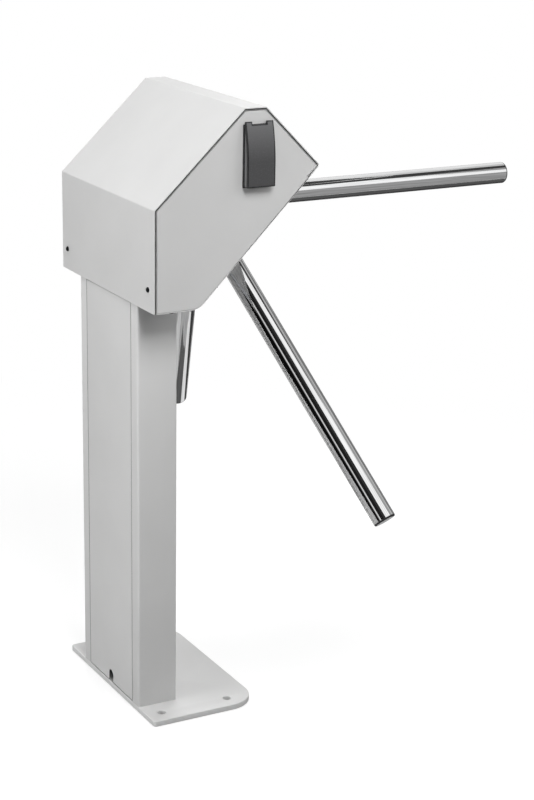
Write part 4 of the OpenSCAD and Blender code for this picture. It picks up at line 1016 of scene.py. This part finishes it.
@dataclass
class HeadOutline:
    """The side outline of the head in X and Z, and the outlines derived from it."""

    corners: tuple[tuple[float, float], ...] = (
        (-92.5, 722.0), (-92.5, 889.0), (65.5, 1040.0), (104.5, 1040.0), (204.5, 940.0), (-13.5, 722.0))
    hood: float = 2.0
    seam: float = 1.6
    sheet: float = 2.0
    fold_r: float = 4.0
    nose_r: float = 6.0
    low_r: float = 30.0
    lip: float = 26.0
    lip_r: float = 0.6
    half_w: float = 183.0

    def inner(self, depths: Sequence[float]) -> Array:
        """Moves each edge of the outline inwards by its own depth.

        Two moved edges cross where the first's start plus a share of its direction meets the second.

        Args:
            depths: One depth for each edge, from the one that starts at the first corner.

        Returns:
            The corners of the inner outline.
        """
        c = np.array(self.corners)
        d = np.asarray(depths, float)[:, None]
        along = unit(np.roll(c, -1, axis=0) - c)
        inward = np.stack([along[:, 1], -along[:, 0]], 1)
        start = c + inward * d
        before, before_along = np.roll(start, 1, axis=0), np.roll(along, 1, axis=0)
        gap = start - before
        cross = before_along[:, 0] * along[:, 1] - before_along[:, 1] * along[:, 0]
        share = (gap[:, 0] * along[:, 1] - gap[:, 1] * along[:, 0]) / cross
        return before + before_along * share[:, None]

    @property
    def slope(self) -> Array:
        """The direction of the inclined lower edge, from the nose down."""
        return unit(np.array(self.corners[5]) - np.array(self.corners[4]))

    @property
    def inward(self) -> Array:
        """The direction square to the inclined lower edge, into the head."""
        return np.array([self.slope[1], -self.slope[0]])

    def hood_ring(self) -> Array:
        """Works out the closed section of the hood: its outer line, its lip and its inner line back.

        Returns:
            The section, as rows of (X, Z).
        """
        c = np.array(self.corners)
        inner = self.inner([self.hood] * 5 + [0])
        end = c[4] + self.slope * self.lip
        points = [*c[:5], end, end + self.inward * self.hood, *inner[4::-1]]
        r, b = self.fold_r, self.fold_r - self.hood
        return rounded(points, [0, r, r, r, self.nose_r, 0, 0, self.nose_r - self.hood, b, b, b, 0], 12)

    def cheek_ring(self) -> Array:
        """Works out the outline of a cheek, which steps inside the hood and its lip.

        Returns:
            The outline, as rows of (X, Z).
        """
        s = self.hood + self.seam
        a, b = self.inner([s] * 5 + [0]), self.inner([s] * 4 + [0, 0])
        end = np.array(self.corners[4]) + self.slope * (self.lip + self.seam)
        points = [*a[:5], end + self.inward * s, end, b[5]]
        r, lip = self.fold_r, self.lip_r
        return rounded(points, [self.sheet, r, r, r, self.nose_r - s, lip, lip, self.low_r], 12)


@dataclass
class Indicator:
    """The bezel and the swelling lens on one cheek, made on the left and mirrored for the right."""

    middle: float = 89.0
    half_w: float = 25.0
    low: float = 914.5
    high: float = 1018.5
    rim: float = 1.6
    rim_r: float = 1.2
    rim_edge: float = 0.5
    sunk: float = 0.02
    overhang: float = 4.5
    proud: float = 14.8
    top_proud: float = 4.6
    flat: float = 35.0
    bezel_proud: float = 2.4
    depth: float = 7.0
    notch_half_w: float = 13.0
    notch_h: float = 5.0
    skirt: float = 0.7
    skirt_r: float = 0.8
    skirt_edge: float = 0.2
    play: float = 0.15
    cheek_y: float = 183.0
    arc: int = 24
    panel: float = 0.12
    # insets of the face panel and side strips, where the lens body's painted dark reflection shows
    face_edge: float = 2.0
    top_edge: float = 1.5
    side_edge: float = 4.2
    side_gap: float = 1.9
    lens_bevel: float = 0.7

    @property
    def bar(self) -> float:
        """Height of the underside of the bezel's top bar."""
        return self.high - self.overhang - self.rim

    @property
    def section(self) -> Basis:
        """The plane of a side section: distance out from the left cheek, height, and place along X."""
        return Basis((self.middle, self.cheek_y, 0), (0, 1, 0), (0, 0, 1), (1, 0, 0))

    def face(self, low: float, high: float) -> Array:
        """Works out the side line of the swelling face.

        It is straight up to the flat part's height, then a circle's arc that starts upright there
        and ends at the top: distance = proud - r + sqrt(r^2 - z^2), with r from the rise and the fall.

        Args:
            low: Height of its lower end.
            high: Height of its top.

        Returns:
            The line, as rows of (distance out, height).
        """
        start = self.low + self.flat
        rise, fall = high - start, self.proud - self.top_proud
        r = (rise * rise + fall * fall) / (2 * fall)
        z = np.linspace(0, rise, self.arc + 1)
        arc = np.stack([self.proud - r + np.sqrt(r * r - z * z), start + z], 1)
        return np.concatenate([[(self.proud, low)], arc])

    def carried(
        self, ring: Array, fronts: int, back: float, floor: float, half: float, notch: float
    ) -> Shape:
        """Carries a side section along X and cuts it short at the snap notch.

        A ring's points above the notch's floor are brought down to it: those in front to the face's
        point at that height, and those behind to the back's point.

        Args:
            ring: The closed section, as rows of (distance out, height), the face's line first.
            fronts: Rows that belong to the face's line.
            back: Distance out of the points behind, at the notch.
            floor: Height of the notch's floor.
            half: Half the width of the piece.
            notch: Half the width of the notch.

        Returns:
            The closed surface in the frame, on the left cheek.
        """
        at_floor = np.interp(floor, ring[:fronts, 1], ring[:fronts, 0])
        is_front = np.arange(len(ring)) < fronts
        above = ring[:, 1] > floor
        lowered = np.where(is_front[:, None], (at_floor, floor), (back, floor))
        cut = np.where(above[:, None], lowered, ring)
        columns = [(-half, ring), (-notch, ring), (-notch, cut), (notch, cut), (notch, ring), (half, ring)]
        rings = np.stack([np.column_stack([line, np.full(len(line), x)]) for x, line in columns])
        return loft(rings).joined(cap([ring], -half), cap([ring], half)).placed(self.section)

    def lens(self) -> Shape:
        """Makes the body of the lens: its section has a swelling face and a step for the bezel's bar.

        Returns:
            The body on the left cheek.
        """
        low, high = self.low + self.play, self.high
        front = self.face(low, high)
        back = self.bezel_proud + 2 * self.play
        step = self.bar - self.play
        ring = np.concatenate([front, [(back, high), (back, step), (-self.depth, step), (-self.depth, low)]])
        half = self.half_w - self.play
        return self.carried(ring, len(front), back, high - self.notch_h, half, self.notch_half_w)

    def face_panel(self) -> Shape:
        """Makes the frosted panel on the lens's face, set in from the edges so that the lens body's painted
        dark reflection shows round it: the face's line and the same line set back.

        Returns:
            The panel on the left cheek.
        """
        low, high = self.low + self.face_edge, self.high - self.top_edge
        front = self.face(self.low, self.high)
        z = np.concatenate([[low], front[(front[:, 1] > low) & (front[:, 1] < high), 1], [high]])
        out = np.interp(z, front[:, 1], front[:, 0])
        line = np.stack([out + self.panel, z], 1)
        ring = np.concatenate([line, (line - (3 * self.panel, 0))[::-1]])
        floor = self.high - self.notch_h - self.top_edge
        back = np.interp(floor, z, out) - 2 * self.panel
        half, notch = self.half_w - self.face_edge, self.notch_half_w + self.top_edge
        return self.carried(ring, len(line), back, floor, half, notch)

    def side_highlights(self) -> Shape:
        """Makes the pale strips on the lens's sides, a painted highlight, between the bezel and the face's
        painted dark edge.

        Returns:
            Both strips on the left cheek.
        """
        low, high = self.low + self.top_edge, self.high - self.top_edge
        front = self.face(low, high)
        base = self.bezel_proud + self.side_gap
        line = np.stack([np.maximum(front[:, 0] - self.side_edge, base + self.panel), front[:, 1]], 1)
        ring = np.concatenate([line, [(base, high), (base, low)]])
        half = self.half_w - self.play
        strips = [prism(ring, x - self.panel, x + self.panel) for x in (-half, half)]
        return all_of(strips).placed(self.section)

    def bezel(self) -> Shape:
        """Makes the bezel: a thin frame with softened edges and the skirt behind it.

        Returns:
            The bezel on the left cheek.
        """
        x, w, r, s, cheek = self.middle, self.half_w, self.rim, self.skirt, -self.cheek_y
        outer = rectangle(x - w - r, self.low - r, x + w + r, self.high - self.overhang, self.rim_r)
        hole = rectangle(x - w, self.low, x + w, self.bar, self.rim_edge, 2)
        rim = prism(outer, cheek - self.bezel_proud, cheek + self.sunk, self.rim_edge, [hole])
        sleeve = rectangle(x - w - s, self.low - s, x + w + s, self.bar + s, self.skirt_r, 3)
        skirt = prism(sleeve, cheek - self.skirt_r, cheek + self.depth, self.skirt_edge, [hole])
        return rim.joined(skirt).placed(PROFILE)

    def build(self) -> None:
        """Makes both bezels, both lenses, the frosted face panels and the side strips of painted highlight on
        them.
        """
        make_piece("indicator_bezel_pair", pair(self.bezel()),
                   Dress(BEZEL_PLASTIC, Slot.BLACK_PLASTIC, replaces=("indicator_bezels",)))
        # the lens body's near-black colour is a painted dark reflection along its rounded edges
        make_piece("indicator_lens_pair", pair(self.lens()),
                   Dress(LENS_EDGE_REFLECTION, Slot.SMOKED, replaces=("indicator_lenses",), bevel=self.lens_bevel))
        make_piece("indicator_face_pair", pair(self.face_panel()), Dress(LENS_FACE, Slot.SMOKED))
        # side strips: a painted highlight on the lens's side walls
        make_piece("indicator_side_highlight_strips", pair(self.side_highlights()), Dress(LENS_SIDE_HIGHLIGHT, Slot.SMOKED))


@dataclass
class ScrewHead:
    """A button head with a hexagonal socket."""

    radius: float = 4.5
    height: float = 2.75
    socket: float = 1.5
    rim: float = 0.25
    rim_edge: float = 0.2
    swell: float = 1.6
    mouth: float = 1.5
    flare: float = 1.1
    flare_depths: tuple[float, float] = (0.1, 0.3)
    floor_shares: tuple[float, float] = (0.35, 0.25)

    def shape(self) -> Shape:
        """Makes the head: a dome's line, then the socket's, turned round Z.

        For t from 0 to 1, the dome's radius shrinks from the head's to the mouth's with t to the power
        of swell, and its height rises with the sine of t quarter turns. The socket has six sides, and
        its floor dips from a share of the head's height at the sides to a smaller one in the middle.

        Returns:
            The head, standing on the plane Z = 0.
        """
        r, h, s, t = self.radius, self.height, self.socket, np.linspace(0, 1, 8)
        dome = np.stack([r - (r - s * self.mouth) * t ** self.swell,
                         self.rim + (h - self.rim) * np.sin(t * np.pi / 2)], 1)
        (lead, throat), (side, middle) = self.flare_depths, self.floor_shares
        sink = [(s * self.flare, h - lead), (s, h - throat), (s, h * side), (0.0, h * middle)]
        foot = [(0.0, 0.0), (r - self.rim_edge, 0.0), (r, self.rim)]
        profile = np.concatenate([foot, dome[1:], sink])
        share = np.zeros(len(profile))
        share[-4:-1] = 1.0
        return revolve(profile, 48, share)


@dataclass
class Head:
    """The shell of the head: the hood, the two cheeks and the screws that hold them."""

    outline: HeadOutline = field(default_factory=HeadOutline)
    flange: float = 14.0
    fold: float = 1.8
    window: tuple[float, float, float, float] = (63.0, 913.5, 115.0, 1013.4)
    hood_screw: tuple[float, float] = (161.0, 758.0)
    slope_screws: tuple[float, ...] = (-113.02, 10.27, 107.89)
    floor_screws: tuple[float, ...] = (-59.3, -23.0)
    screw_y: float = 176.0
    face_level: float = 38.4
    # depth and recess of the seam strips, which are painted shade
    seam_shade_depth: float = 4.0
    seam_shade_recess: float = 0.5
    hood_edge: float = 0.55
    sheet_edge: float = 0.3
    window_r: float = 1.0

    def hood(self) -> Shape:
        """Returns the hood: its bent section carried from side to side, with rounded sheet edges."""
        o = self.outline
        return prism(o.hood_ring(), -o.half_w, o.half_w, self.hood_edge).placed(PROFILE)

    def cheek(self) -> Shape:
        """Makes the right cheek, a tray: rings of the outline that draw in round the fold.

        Outside, the ring stands upright along the flange, then t runs a quarter turn with the inset
        fold (1 - sin t) and the depth fold (1 - cos t); inside runs the same path a sheet's thickness
        deeper. The two flat faces are cut round the window.

        Returns:
            The cheek in the frame.
        """
        o, t, e = self.outline, self.outline.sheet, self.sheet_edge
        ring = oriented(o.cheek_ring())
        a = np.linspace(np.pi / 2, 0, 5)
        root, face = o.half_w - self.flange, o.half_w
        bend = np.column_stack([self.fold * (1 - np.sin(a)), face - self.fold * (1 - np.cos(a[::-1]))])
        outside = np.array([(t, root), (e, root), (0.0, root + e), *bend])
        inside = np.array([(t + e, face - t), (t, face - t - e), (t, root)])
        outer, inner = (stacked(ring, *path.T) for path in (outside, inside))
        x0, z0, x1, z1 = self.window
        hole = rectangle(x0, z0, x1, z1, self.window_r, 3)
        skin = cap([outer[-1, :, :2], hole], face)
        back = cap([inner[0, :, :2], hole], face - t)
        wall = loft(stacked(hole, np.zeros(2), np.array([face, face - t])))
        return loft(outer).joined(loft(inner), skin, back, wall).placed(PROFILE)

    def seam_shades(self) -> Shape:
        """Makes black strips of painted shade in the seams between the hood and the cheeks.

        A strip's section runs along the hood's inner line and its lip, and back along the cheek's outline.

        Returns:
            Both strips in the frame.
        """
        o = self.outline
        s = o.hood + o.seam
        hood, cheek = o.inner([o.hood] * 5 + [0]), o.inner([s] * 5 + [0])
        end, notch = (np.array(o.corners[4]) + o.slope * (o.lip + share * o.seam) for share in (0, 1))
        flush = o.inward * self.seam_shade_recess
        lip = [end + o.inward * o.hood, end + flush, notch + flush, notch + o.inward * s]
        r, b = o.fold_r, o.fold_r - o.hood
        radii = [0, b, b, b, o.nose_r - o.hood, 0, 0, 0, 0, o.nose_r - s, r, r, r, 0]
        ring = rounded([*hood[:5], *lip, *cheek[4::-1]], radii, 8)
        return pair(prism(ring, o.half_w - self.seam_shade_depth, o.half_w - self.seam_shade_recess).placed(PROFILE))

    def screws(self) -> tuple[Shape, Shape]:
        """Makes the heads of the shell's screws.

        Returns:
            The heads of the hood's screws, and those of the inclined edge and the floor.
        """
        head, sides = ScrewHead().shape(), (1, -1)
        y, z = self.hood_screw
        rear, under = self.outline.corners[0]
        hood = [head.placed(Basis((rear, s * y, z), (0, 1, 0), (0, 0, 1), (-1, 0, 0))) for s in sides]
        slope = [head.moved(u, s * self.screw_y, self.face_level).placed(ROTOR)
                 for u in self.slope_screws for s in sides]
        floor = [head.placed(Basis((x, s * self.screw_y, under), (0, 1, 0), (1, 0, 0), (0, 0, -1)))
                 for x in self.floor_screws for s in sides]
        return all_of(hood), all_of(slope + floor)

    def build(self) -> None:
        """Makes the hood, the cheeks and the screws' heads."""
        make_piece("hood_sheet", self.hood(), Dress(POWDER, Slot.POWDER, replaces=("hood",)))
        cheek = self.cheek()
        for side, shape in (("right", cheek), ("left", cheek.mirrored())):
            make_piece("cheek_sheet_" + side, shape, Dress(POWDER, Slot.POWDER, replaces=(side + "_cheek",)))
        # black strips in the seams: painted shade
        make_piece("shell_seam_shade_strips", self.seam_shades(), Dress(GAP_SHADE, Slot.BLACK_PLASTIC))
        for name, heads in zip(("hood_screw", "shell_screw"), self.screws()):
            make_piece(name + "_heads", heads, Dress(BLACK_STEEL, Slot.BLACK_STEEL, replaces=(name + "s",)))


@dataclass
class Arm:
    """One chromed arm of the rotor."""

    node: str
    turn: float
    outer_r: float = 19.0
    start: float = 39.3
    cap_at: float = 623.0
    tip: float = 626.0
    edge: float = 2.6
    recess: float = 0.15
    rim_gap: float = 0.3
    rim_lift: float = 0.02
    groove: float = 0.18
    soft: float = 0.6

    def basis(self) -> Basis:
        """Works out the arm's own axes: its length leans 45 degrees off the rotor's axis.

        Returns:
            The axes, with the arm's length as the third.
        """
        t = math.radians(180 + self.turn)
        lean = np.array([math.cos(t), math.sin(t), 0])
        length = np.array([lean[0] * HALF, lean[1] * HALF, HALF])
        side = np.array([-lean[1], lean[0], 0])
        up = np.cross(length, side)
        axes = np.array([ROTOR.u, ROTOR.v, ROTOR.w])
        u, v, w = (tuple(row) for row in np.array([side, up, length]) @ axes)
        return Basis(HUB, u, np.cross(w, u).tolist(), w)

    def tube(self) -> Shape:
        """Makes the tube, closed: a turned line with softened ends.

        Returns:
            The tube in the frame.
        """
        r, g, soft, low, high = self.outer_r, self.groove, self.soft, self.start, self.cap_at
        profile = [(0, low), (r - soft, low), (r, low + soft), (r, high - g), (r - g, high), (0, high)]
        return revolve(profile).placed(self.basis())

    def rim(self) -> Shape:
        """Makes the end cap's rim: a disc whose outer edge is a quarter circle.

        Returns:
            The rim in the frame.
        """
        r, e, low, top = self.outer_r, self.edge, self.cap_at + self.rim_lift, self.tip - self.recess
        edge = arc_points(e, (r - e, top - e), 0, 90, 8)
        return revolve([(0, low), (r - self.groove, low), *edge, (0, top)]).placed(self.basis())

    def cap(self) -> Shape:
        """Makes the end cap's face: a thin disc with a softened edge, a little proud of the rim.

        Returns:
            The disc in the frame.
        """
        r, top, soft = self.outer_r - self.edge - self.rim_gap, self.tip, self.recess
        profile = [(0, top - 2 * soft), (r, top - 2 * soft), (r, top - soft), (r - soft, top), (0, top)]
        return revolve(profile).placed(self.basis())


@dataclass
class Rotor:
    """The arms and their end caps."""

    arms: tuple[Arm, ...] = (Arm("arm_top", 0.0), Arm("arm_left", 240.0), Arm("arm_right", 120.0))

    def build(self) -> None:
        """Makes each arm's tube, and the three end caps as a piece of discs and a piece of rims."""
        for arm in self.arms:
            turn = Vector((1, 0, 0)).rotation_difference(Vector(arm.basis().w)).to_euler()
            finish = Polished("chrome_" + arm.node, along=tuple(turn))
            make_piece(arm.node + "_tube", arm.tube(), Dress(finish, Slot.CHROME, "rotor", (arm.node,)))
        ends = ("arm_caps",)
        make_piece("arm_end_caps", all_of([arm.cap() for arm in self.arms]),
                   Dress(CHROME, Slot.CHROME, "rotor", ends))
        make_piece("arm_end_rims", all_of([arm.rim() for arm in self.arms]),
                   Dress(CAP_RIM, Slot.BLACK_PLASTIC, "rotor", ends))


HOOK_STEPS = 39
TURN_STEPS = 16
ACROSS = np.array([0.31, 0.05, 0.95])


@dataclass(frozen=True)
class Coil:
    """A coil spring with a hook at each end, along Y in the rotor's coordinates."""

    first: Triple
    last: Triple
    radius: float
    wire: float
    hook_r: float
    reach: float
    turns: int

    def hook(self, pin: Triple, first: float, last: float) -> Array:
        """Returns an arc round a pin, between two angles in degrees."""
        arc = arc_points(self.hook_r, pin[:2], first, last, HOOK_STEPS)
        return np.column_stack([arc, np.full(len(arc), pin[2])])

    def shape(self) -> Shape:
        """Makes the wire, whose centreline is a hook, the coil and a hook.

        The coil's line is (r cos a, y, r sin a), whose radius r swells from 0 over a turn at each
        end, while a runs the turns and y goes on evenly between the hooks.

        Returns:
            The wire in the frame.
        """
        (x, y, z), n = self.first, self.turns
        share = np.linspace(0, 1, n * TURN_STEPS + 1)
        swell = self.radius * np.clip(np.minimum(share, 1 - share) * n, 0, 1)
        a = 2 * np.pi * n * share
        start, stop = y + self.reach, self.last[1] - self.reach
        coil = np.stack([x + swell * np.cos(a), start + (stop - start) * share, z + swell * np.sin(a)], 1)
        line = np.concatenate([self.hook(self.first, -250, 90), coil, self.hook(self.last, -90, 250)])
        return tube(line, self.wire, ACROSS).placed(ROTOR)


@dataclass
class Springs:
    """The coiled springs of the mechanism."""

    centring: Coil = Coil(
        first=(0.0, 80.0, -117.0), last=(0.0, 165.0, -117.0), radius=6.0, wire=1.0, hook_r=4.3, reach=12.0,
        turns=24)
    pawl: Coil = Coil(
        first=(-92.532, 0.0, -93.0), last=(-92.532, 18.34, -93.0), radius=2.4, wire=0.5, hook_r=3.3,
        reach=4.3, turns=10)

    def build(self) -> None:
        """Makes the centring spring and the two pawl springs."""
        make_piece("centring_coil", self.centring.shape(),
                   Dress(ZINC, Slot.ZINC, replaces=("centring_spring",)))
        make_piece("pawl_coils", pair(self.pawl.shape()), Dress(ZINC, Slot.ZINC, replaces=("pawl_springs",)))


def dress_carried_nodes() -> None:
    """Gives each carried CAD node the finish of its slot in the record."""
    slots = {entry["node"]: entry["material_slot"] for entry in frame["record"]["subparts"]}
    for name, node in frame["nodes"].items():
        finish = CARRIED[Slot(slots[name])]
        node.data.materials.clear()
        node.data.materials.append(PALETTE.of(finish))
        LOG.info("dressed %s as %s", name, finish.name)


# Stage


def toward(azimuth: Array | float, elevation: Array | float, reach: float, centre: Triple) -> Array:
    """Returns places round a centre, for angles in degrees.

    A place is the centre plus reach times (cos e cos a, cos e sin a, sin e).
    """
    a, e = np.radians(azimuth), np.radians(elevation)
    return np.array(centre) + reach * np.stack([np.cos(e) * np.cos(a), np.cos(e) * np.sin(a), np.sin(e)], -1)


@dataclass(frozen=True)
class SoftLamp:
    """A square soft lamp that looks at the object from a direction given in degrees."""

    name: str
    azimuth: float
    elevation: float
    power: float
    size: float = 1.6
    reach: float = 3.6

    def build(self, aim: Triple) -> None:
        """Makes the lamp, which reflections don't see.

        Args:
            aim: The point that it looks at.
        """
        data = bpy.data.lights.new(self.name, "AREA")
        data.shape = "SQUARE"
        data.size = self.size
        data.energy = self.power
        place = Vector(toward(self.azimuth, self.elevation, self.reach, aim).tolist())
        turn = (Vector(aim) - place).to_track_quat("-Z", "Y")
        lamp = put(self.name, data)
        lamp.matrix_world = Matrix.Translation(place) @ turn.to_matrix().to_4x4()
        lamp.visible_glossy = False


def lay_stage(
    name: str, points: Array, faces: Sequence[Array], material: bpy.types.Material
) -> bpy.types.Object:
    """Puts a mesh that isn't part of the object into the scene.

    Args:
        name: Its name.
        points: Its points in metres.
        faces: Its faces, as arrays of point numbers.
        material: Its material.

    Returns:
        The object.
    """
    mesh = new_mesh(name, points, faces)
    mesh.materials.append(material)
    thing = put(name, mesh)
    return thing


def flat_square(low: tuple[float, float], high: tuple[float, float], height: float) -> Array:
    """Returns the corners of a level rectangle, from one corner to the opposite one."""
    (x0, y0), (x1, y1) = low, high
    return np.array([(x0, y0, height), (x1, y0, height), (x1, y1, height), (x0, y1, height)])


def hang_card(name: str, points: Array, faces: Array, level: float) -> None:
    """Puts a card of an even tone into the studio, hidden from everything but reflections.

    Args:
        name: The card's name.
        points: Its points in metres.
        faces: Its faces, as rows of point numbers.
        level: The tone that reflections see, where 1 is white.
    """
    g = Surface(name)
    g.close(g.glow(level))
    card = lay_stage(name, points, [faces], g.material)
    card.visible_camera = False
    card.visible_diffuse = False
    card.visible_shadow = False
    card.visible_transmission = False


ONE_FACE = np.array([[0, 1, 2, 3]])


@dataclass(frozen=True)
class Card:
    """A card of the studio, dark or pale, which only reflections see."""

    name: str
    azimuths: tuple[float, float]
    elevations: tuple[float, float]
    level: float
    reach: float = 4.0

    def build(self, centre: Triple, steps: int = 12) -> None:
        """Makes the card as a patch of a sphere: points at even steps of both angles.

        Args:
            centre: The sphere's centre.
            steps: Steps of each angle.
        """
        a, e = np.meshgrid(np.linspace(*self.azimuths, steps + 1), np.linspace(*self.elevations, steps + 1))
        points = toward(a, e, self.reach, centre).reshape(-1, 3)
        hang_card(self.name, points, grid_faces(steps + 1, steps + 1, False), self.level)


@dataclass(frozen=True)
class FloorCard:
    """A card that lies on the floor, from one corner to the other, which only reflections see."""

    name: str
    low: tuple[float, float]
    high: tuple[float, float]
    level: float

    def build(self, height: float = 0.001) -> None:
        """Makes the card as one flat face."""
        hang_card(self.name, flat_square(self.low, self.high, height), ONE_FACE, self.level)


@dataclass
class Stage:
    """The floor, the world, the lamps, the cards and the camera."""

    floor_half: float = 12.0
    floor_level: float = -0.0005
    floor_tone: float = 0.4
    floor_lift: float = 0.66
    seen_blend: tuple[float, float] = (1.1, 1.9)
    mirrored_blend: tuple[float, float] = (3.0, 4.5)
    # the discs on the floor under the anchor holes are painted shade
    hole_r: float = 6.0
    hole_shade_level: float = -0.3
    hole_shade_tone: float = 0.01
    eye: Triple = (-1.3906, -2.9110, 1.5161)
    yaw: float = -28.875
    pitch: float = 17.215
    roll: float = 0.964
    lens: float = 88.757
    sensor: float = 36.0
    shift_y: float = 0.0023
    view_end: float = 100.0
    world: float = 0.08
    aim: Triple = (0.0, 0.0, 0.7)
    lamps: tuple[SoftLamp, ...] = (
        SoftLamp("lamp_front", -95.0, 45.0, 86.0), SoftLamp("lamp_rear", 180.0, 5.0, 66.0),
        SoftLamp("lamp_rear_high", 180.0, 68.0, 30.0), SoftLamp("lamp_passage", 60.0, 45.0, 60.0),
        SoftLamp("lamp_cheek", -40.0, 30.0, 6.0, 0.8, 1.7))
    cards: tuple[Card, ...] = (
        Card("card_ceiling", (-180.0, 180.0), (54.0, 89.5), 0.06),
        Card("card_front_high", (-44.0, 4.0), (43.0, 54.0), 0.05),
        Card("card_left", (-127.0, -102.0), (-5.0, 75.0), 0.03, 10.0),
        Card("card_left_rear", (-150.0, -127.0), (-5.0, 75.0), 0.012, 10.0),
        Card("card_rear_strip", (-158.5, -150.0), (-5.0, 75.0), 0.72, 10.0),
        Card("card_rear_edge", (-163.0, -158.5), (-5.0, 75.0), 0.12, 10.0),
        Card("card_rear", (150.0, 197.0), (-5.0, 75.0), 0.003, 10.0),
        Card("card_right", (-38.0, -13.0), (-10.5, 43.0), 0.36),
        Card("card_right_pale", (-13.0, -1.0), (-10.5, 43.0), 0.55),
        Card("card_right_dark", (-1.0, 26.0), (-10.5, 43.0), 0.20),
        Card("card_back_high", (4.0, 26.0), (43.0, 54.0), 0.6),
        Card("card_back", (26.0, 100.0), (8.0, 54.0), 0.85),
        Card("card_back_low", (26.0, 100.0), (-10.5, 8.0), 0.20),
        Card("card_far", (100.0, 152.0), (-10.5, 54.0), 0.9),
        Card("card_front_low", (-98.0, -38.0), (-10.5, 14.0), 0.34),
    )
    floor_cards: tuple[FloorCard, ...] = (
        FloorCard("floor_card_passage", (0.70, -0.42), (1.6, 0.25), 0.09),
        FloorCard("floor_card_passage_far", (0.70, 0.25), (2.4, 0.95), 0.045),
        FloorCard("floor_card_far", (1.25, 0.95), (2.6, 1.5), 0.06),
        FloorCard("floor_card_rear", (-10.5, -5.0), (-1.45, 0.9), 0.005),
        FloorCard("floor_card_front", (0.5, -3.6), (3.4, -0.5), 0.31),
        FloorCard("floor_card_under", (0.13, 0.29), (0.43, 0.46), 0.10),
        FloorCard("floor_card_pale", (0.43, 0.25), (0.70, 0.75), 0.75),
        FloorCard("floor_card_side", (-0.14, 0.42), (0.13, 0.85), 0.55),
    )

    def camera(self) -> None:
        """Makes the camera from its yaw, pitch and roll."""
        y, p, r = (math.radians(a) for a in (self.yaw, self.pitch, self.roll))
        back = Vector((math.sin(y) * math.cos(p), -math.cos(y) * math.cos(p), math.sin(p)))
        right = (-back).cross(Vector((0, 0, 1))).normalized()
        up = right.cross(-back)
        turned = math.cos(r) * right + math.sin(r) * up
        raised = -math.sin(r) * right + math.cos(r) * up
        data = bpy.data.cameras.new("camera")
        data.lens = self.lens
        data.sensor_width = self.sensor
        data.shift_y = self.shift_y
        data.clip_end = self.view_end
        eye = put("camera", data)
        eye.matrix_world = Matrix.Translation(self.eye) @ Matrix((turned, raised, back)).transposed().to_4x4()
        bpy.context.scene.camera = eye

    def floor(self) -> None:
        """Makes the floor.

        Near the object it is matt and lifted towards white, so that the object's shadow shows.
        Farther out it blends into plain white, nearer for the camera than for reflections.
        """
        g = Surface("floor_white")
        away = g.add("VectorMath", {0: g.coords}, operation="LENGTH").outputs["Value"]
        rays = g.add("LightPath").outputs
        seen = g.maths("MULTIPLY", g.seen(), g.spread(away, 0.0, 1.0, *self.seen_blend))
        mirrored = g.spread(away, 0.0, 1.0, *self.mirrored_blend)
        white = g.maths("MAXIMUM", seen, g.maths("MULTIPLY", rays["Is Glossy Ray"], mirrored))
        lift = g.glow(g.maths("MULTIPLY", rays["Is Camera Ray"], self.floor_lift))
        near = g.add("AddShader", {0: g.shader.outputs[0], 1: lift}).outputs[0]
        g.close(g.add("MixShader", {0: white, 1: near, 2: g.glow(1.0)}).outputs[0])
        g.finish(Base_Color=opaque((self.floor_tone,) * 3), Roughness=0.9, Specular_IOR_Level=0.0)
        h = self.floor_half
        lay_stage("floor", flat_square((-h, -h), (h, h), self.floor_level), [ONE_FACE], g.material)

    def floor_hole_shades(self, plate: BasePlate) -> None:
        """Makes dark discs on the floor under the anchor holes, as one flat piece: painted shade where the
        plate shades the floor.

        Args:
            plate: The base plate, whose holes they lie under.
        """
        shape = all_of([cap([ring], self.hole_shade_level) for ring in plate.anchor_rings(self.hole_r)])
        # painted shade: near-black discs where the plate shades the floor
        g = Surface("painted_hole_shade")
        g.finish(Base_Color=opaque((self.hole_shade_tone,) * 3), Roughness=1.0, Specular_IOR_Level=0.0)
        lay_stage("floor_hole_shades", shape.points * METRE, shape.faces, g.material)

    def surroundings(self) -> None:
        """Makes the world: a soft even light, seen and mirrored as plain white."""
        world = bpy.data.worlds.new("studio")
        bpy.context.scene.world = world
        g = Graph(world)
        white = g.maths("MAXIMUM", g.seen(), g.add("LightPath").outputs["Is Glossy Ray"])
        strength = g.spread(white, self.world, 1.0, 0.0, 1.0)
        sky = g.add("Background", {"Color": WHITE, "Strength": strength})
        g.add("OutputWorld", {"Surface": sky.outputs[0]})

    def build(self) -> None:
        """Makes everything round the object."""
        self.camera()
        self.floor()
        self.floor_hole_shades(BasePlate())
        self.surroundings()
        for lamp in self.lamps:
            lamp.build(self.aim)
        for card in self.cards:
            card.build(self.aim)
        for card in self.floor_cards:
            card.build()


def main() -> None:
    """Builds every piece in order."""
    logging.basicConfig(level=logging.INFO, format="%(message)s")
    bpy.context.scene.view_settings.view_transform = "Standard"
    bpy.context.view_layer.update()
    dress_carried_nodes()
    for part in (BasePlate(), Post(), Head(), Indicator(), Rotor(), Springs(), Stage()):
        part.build()


if __name__ == "__main__":
    main()
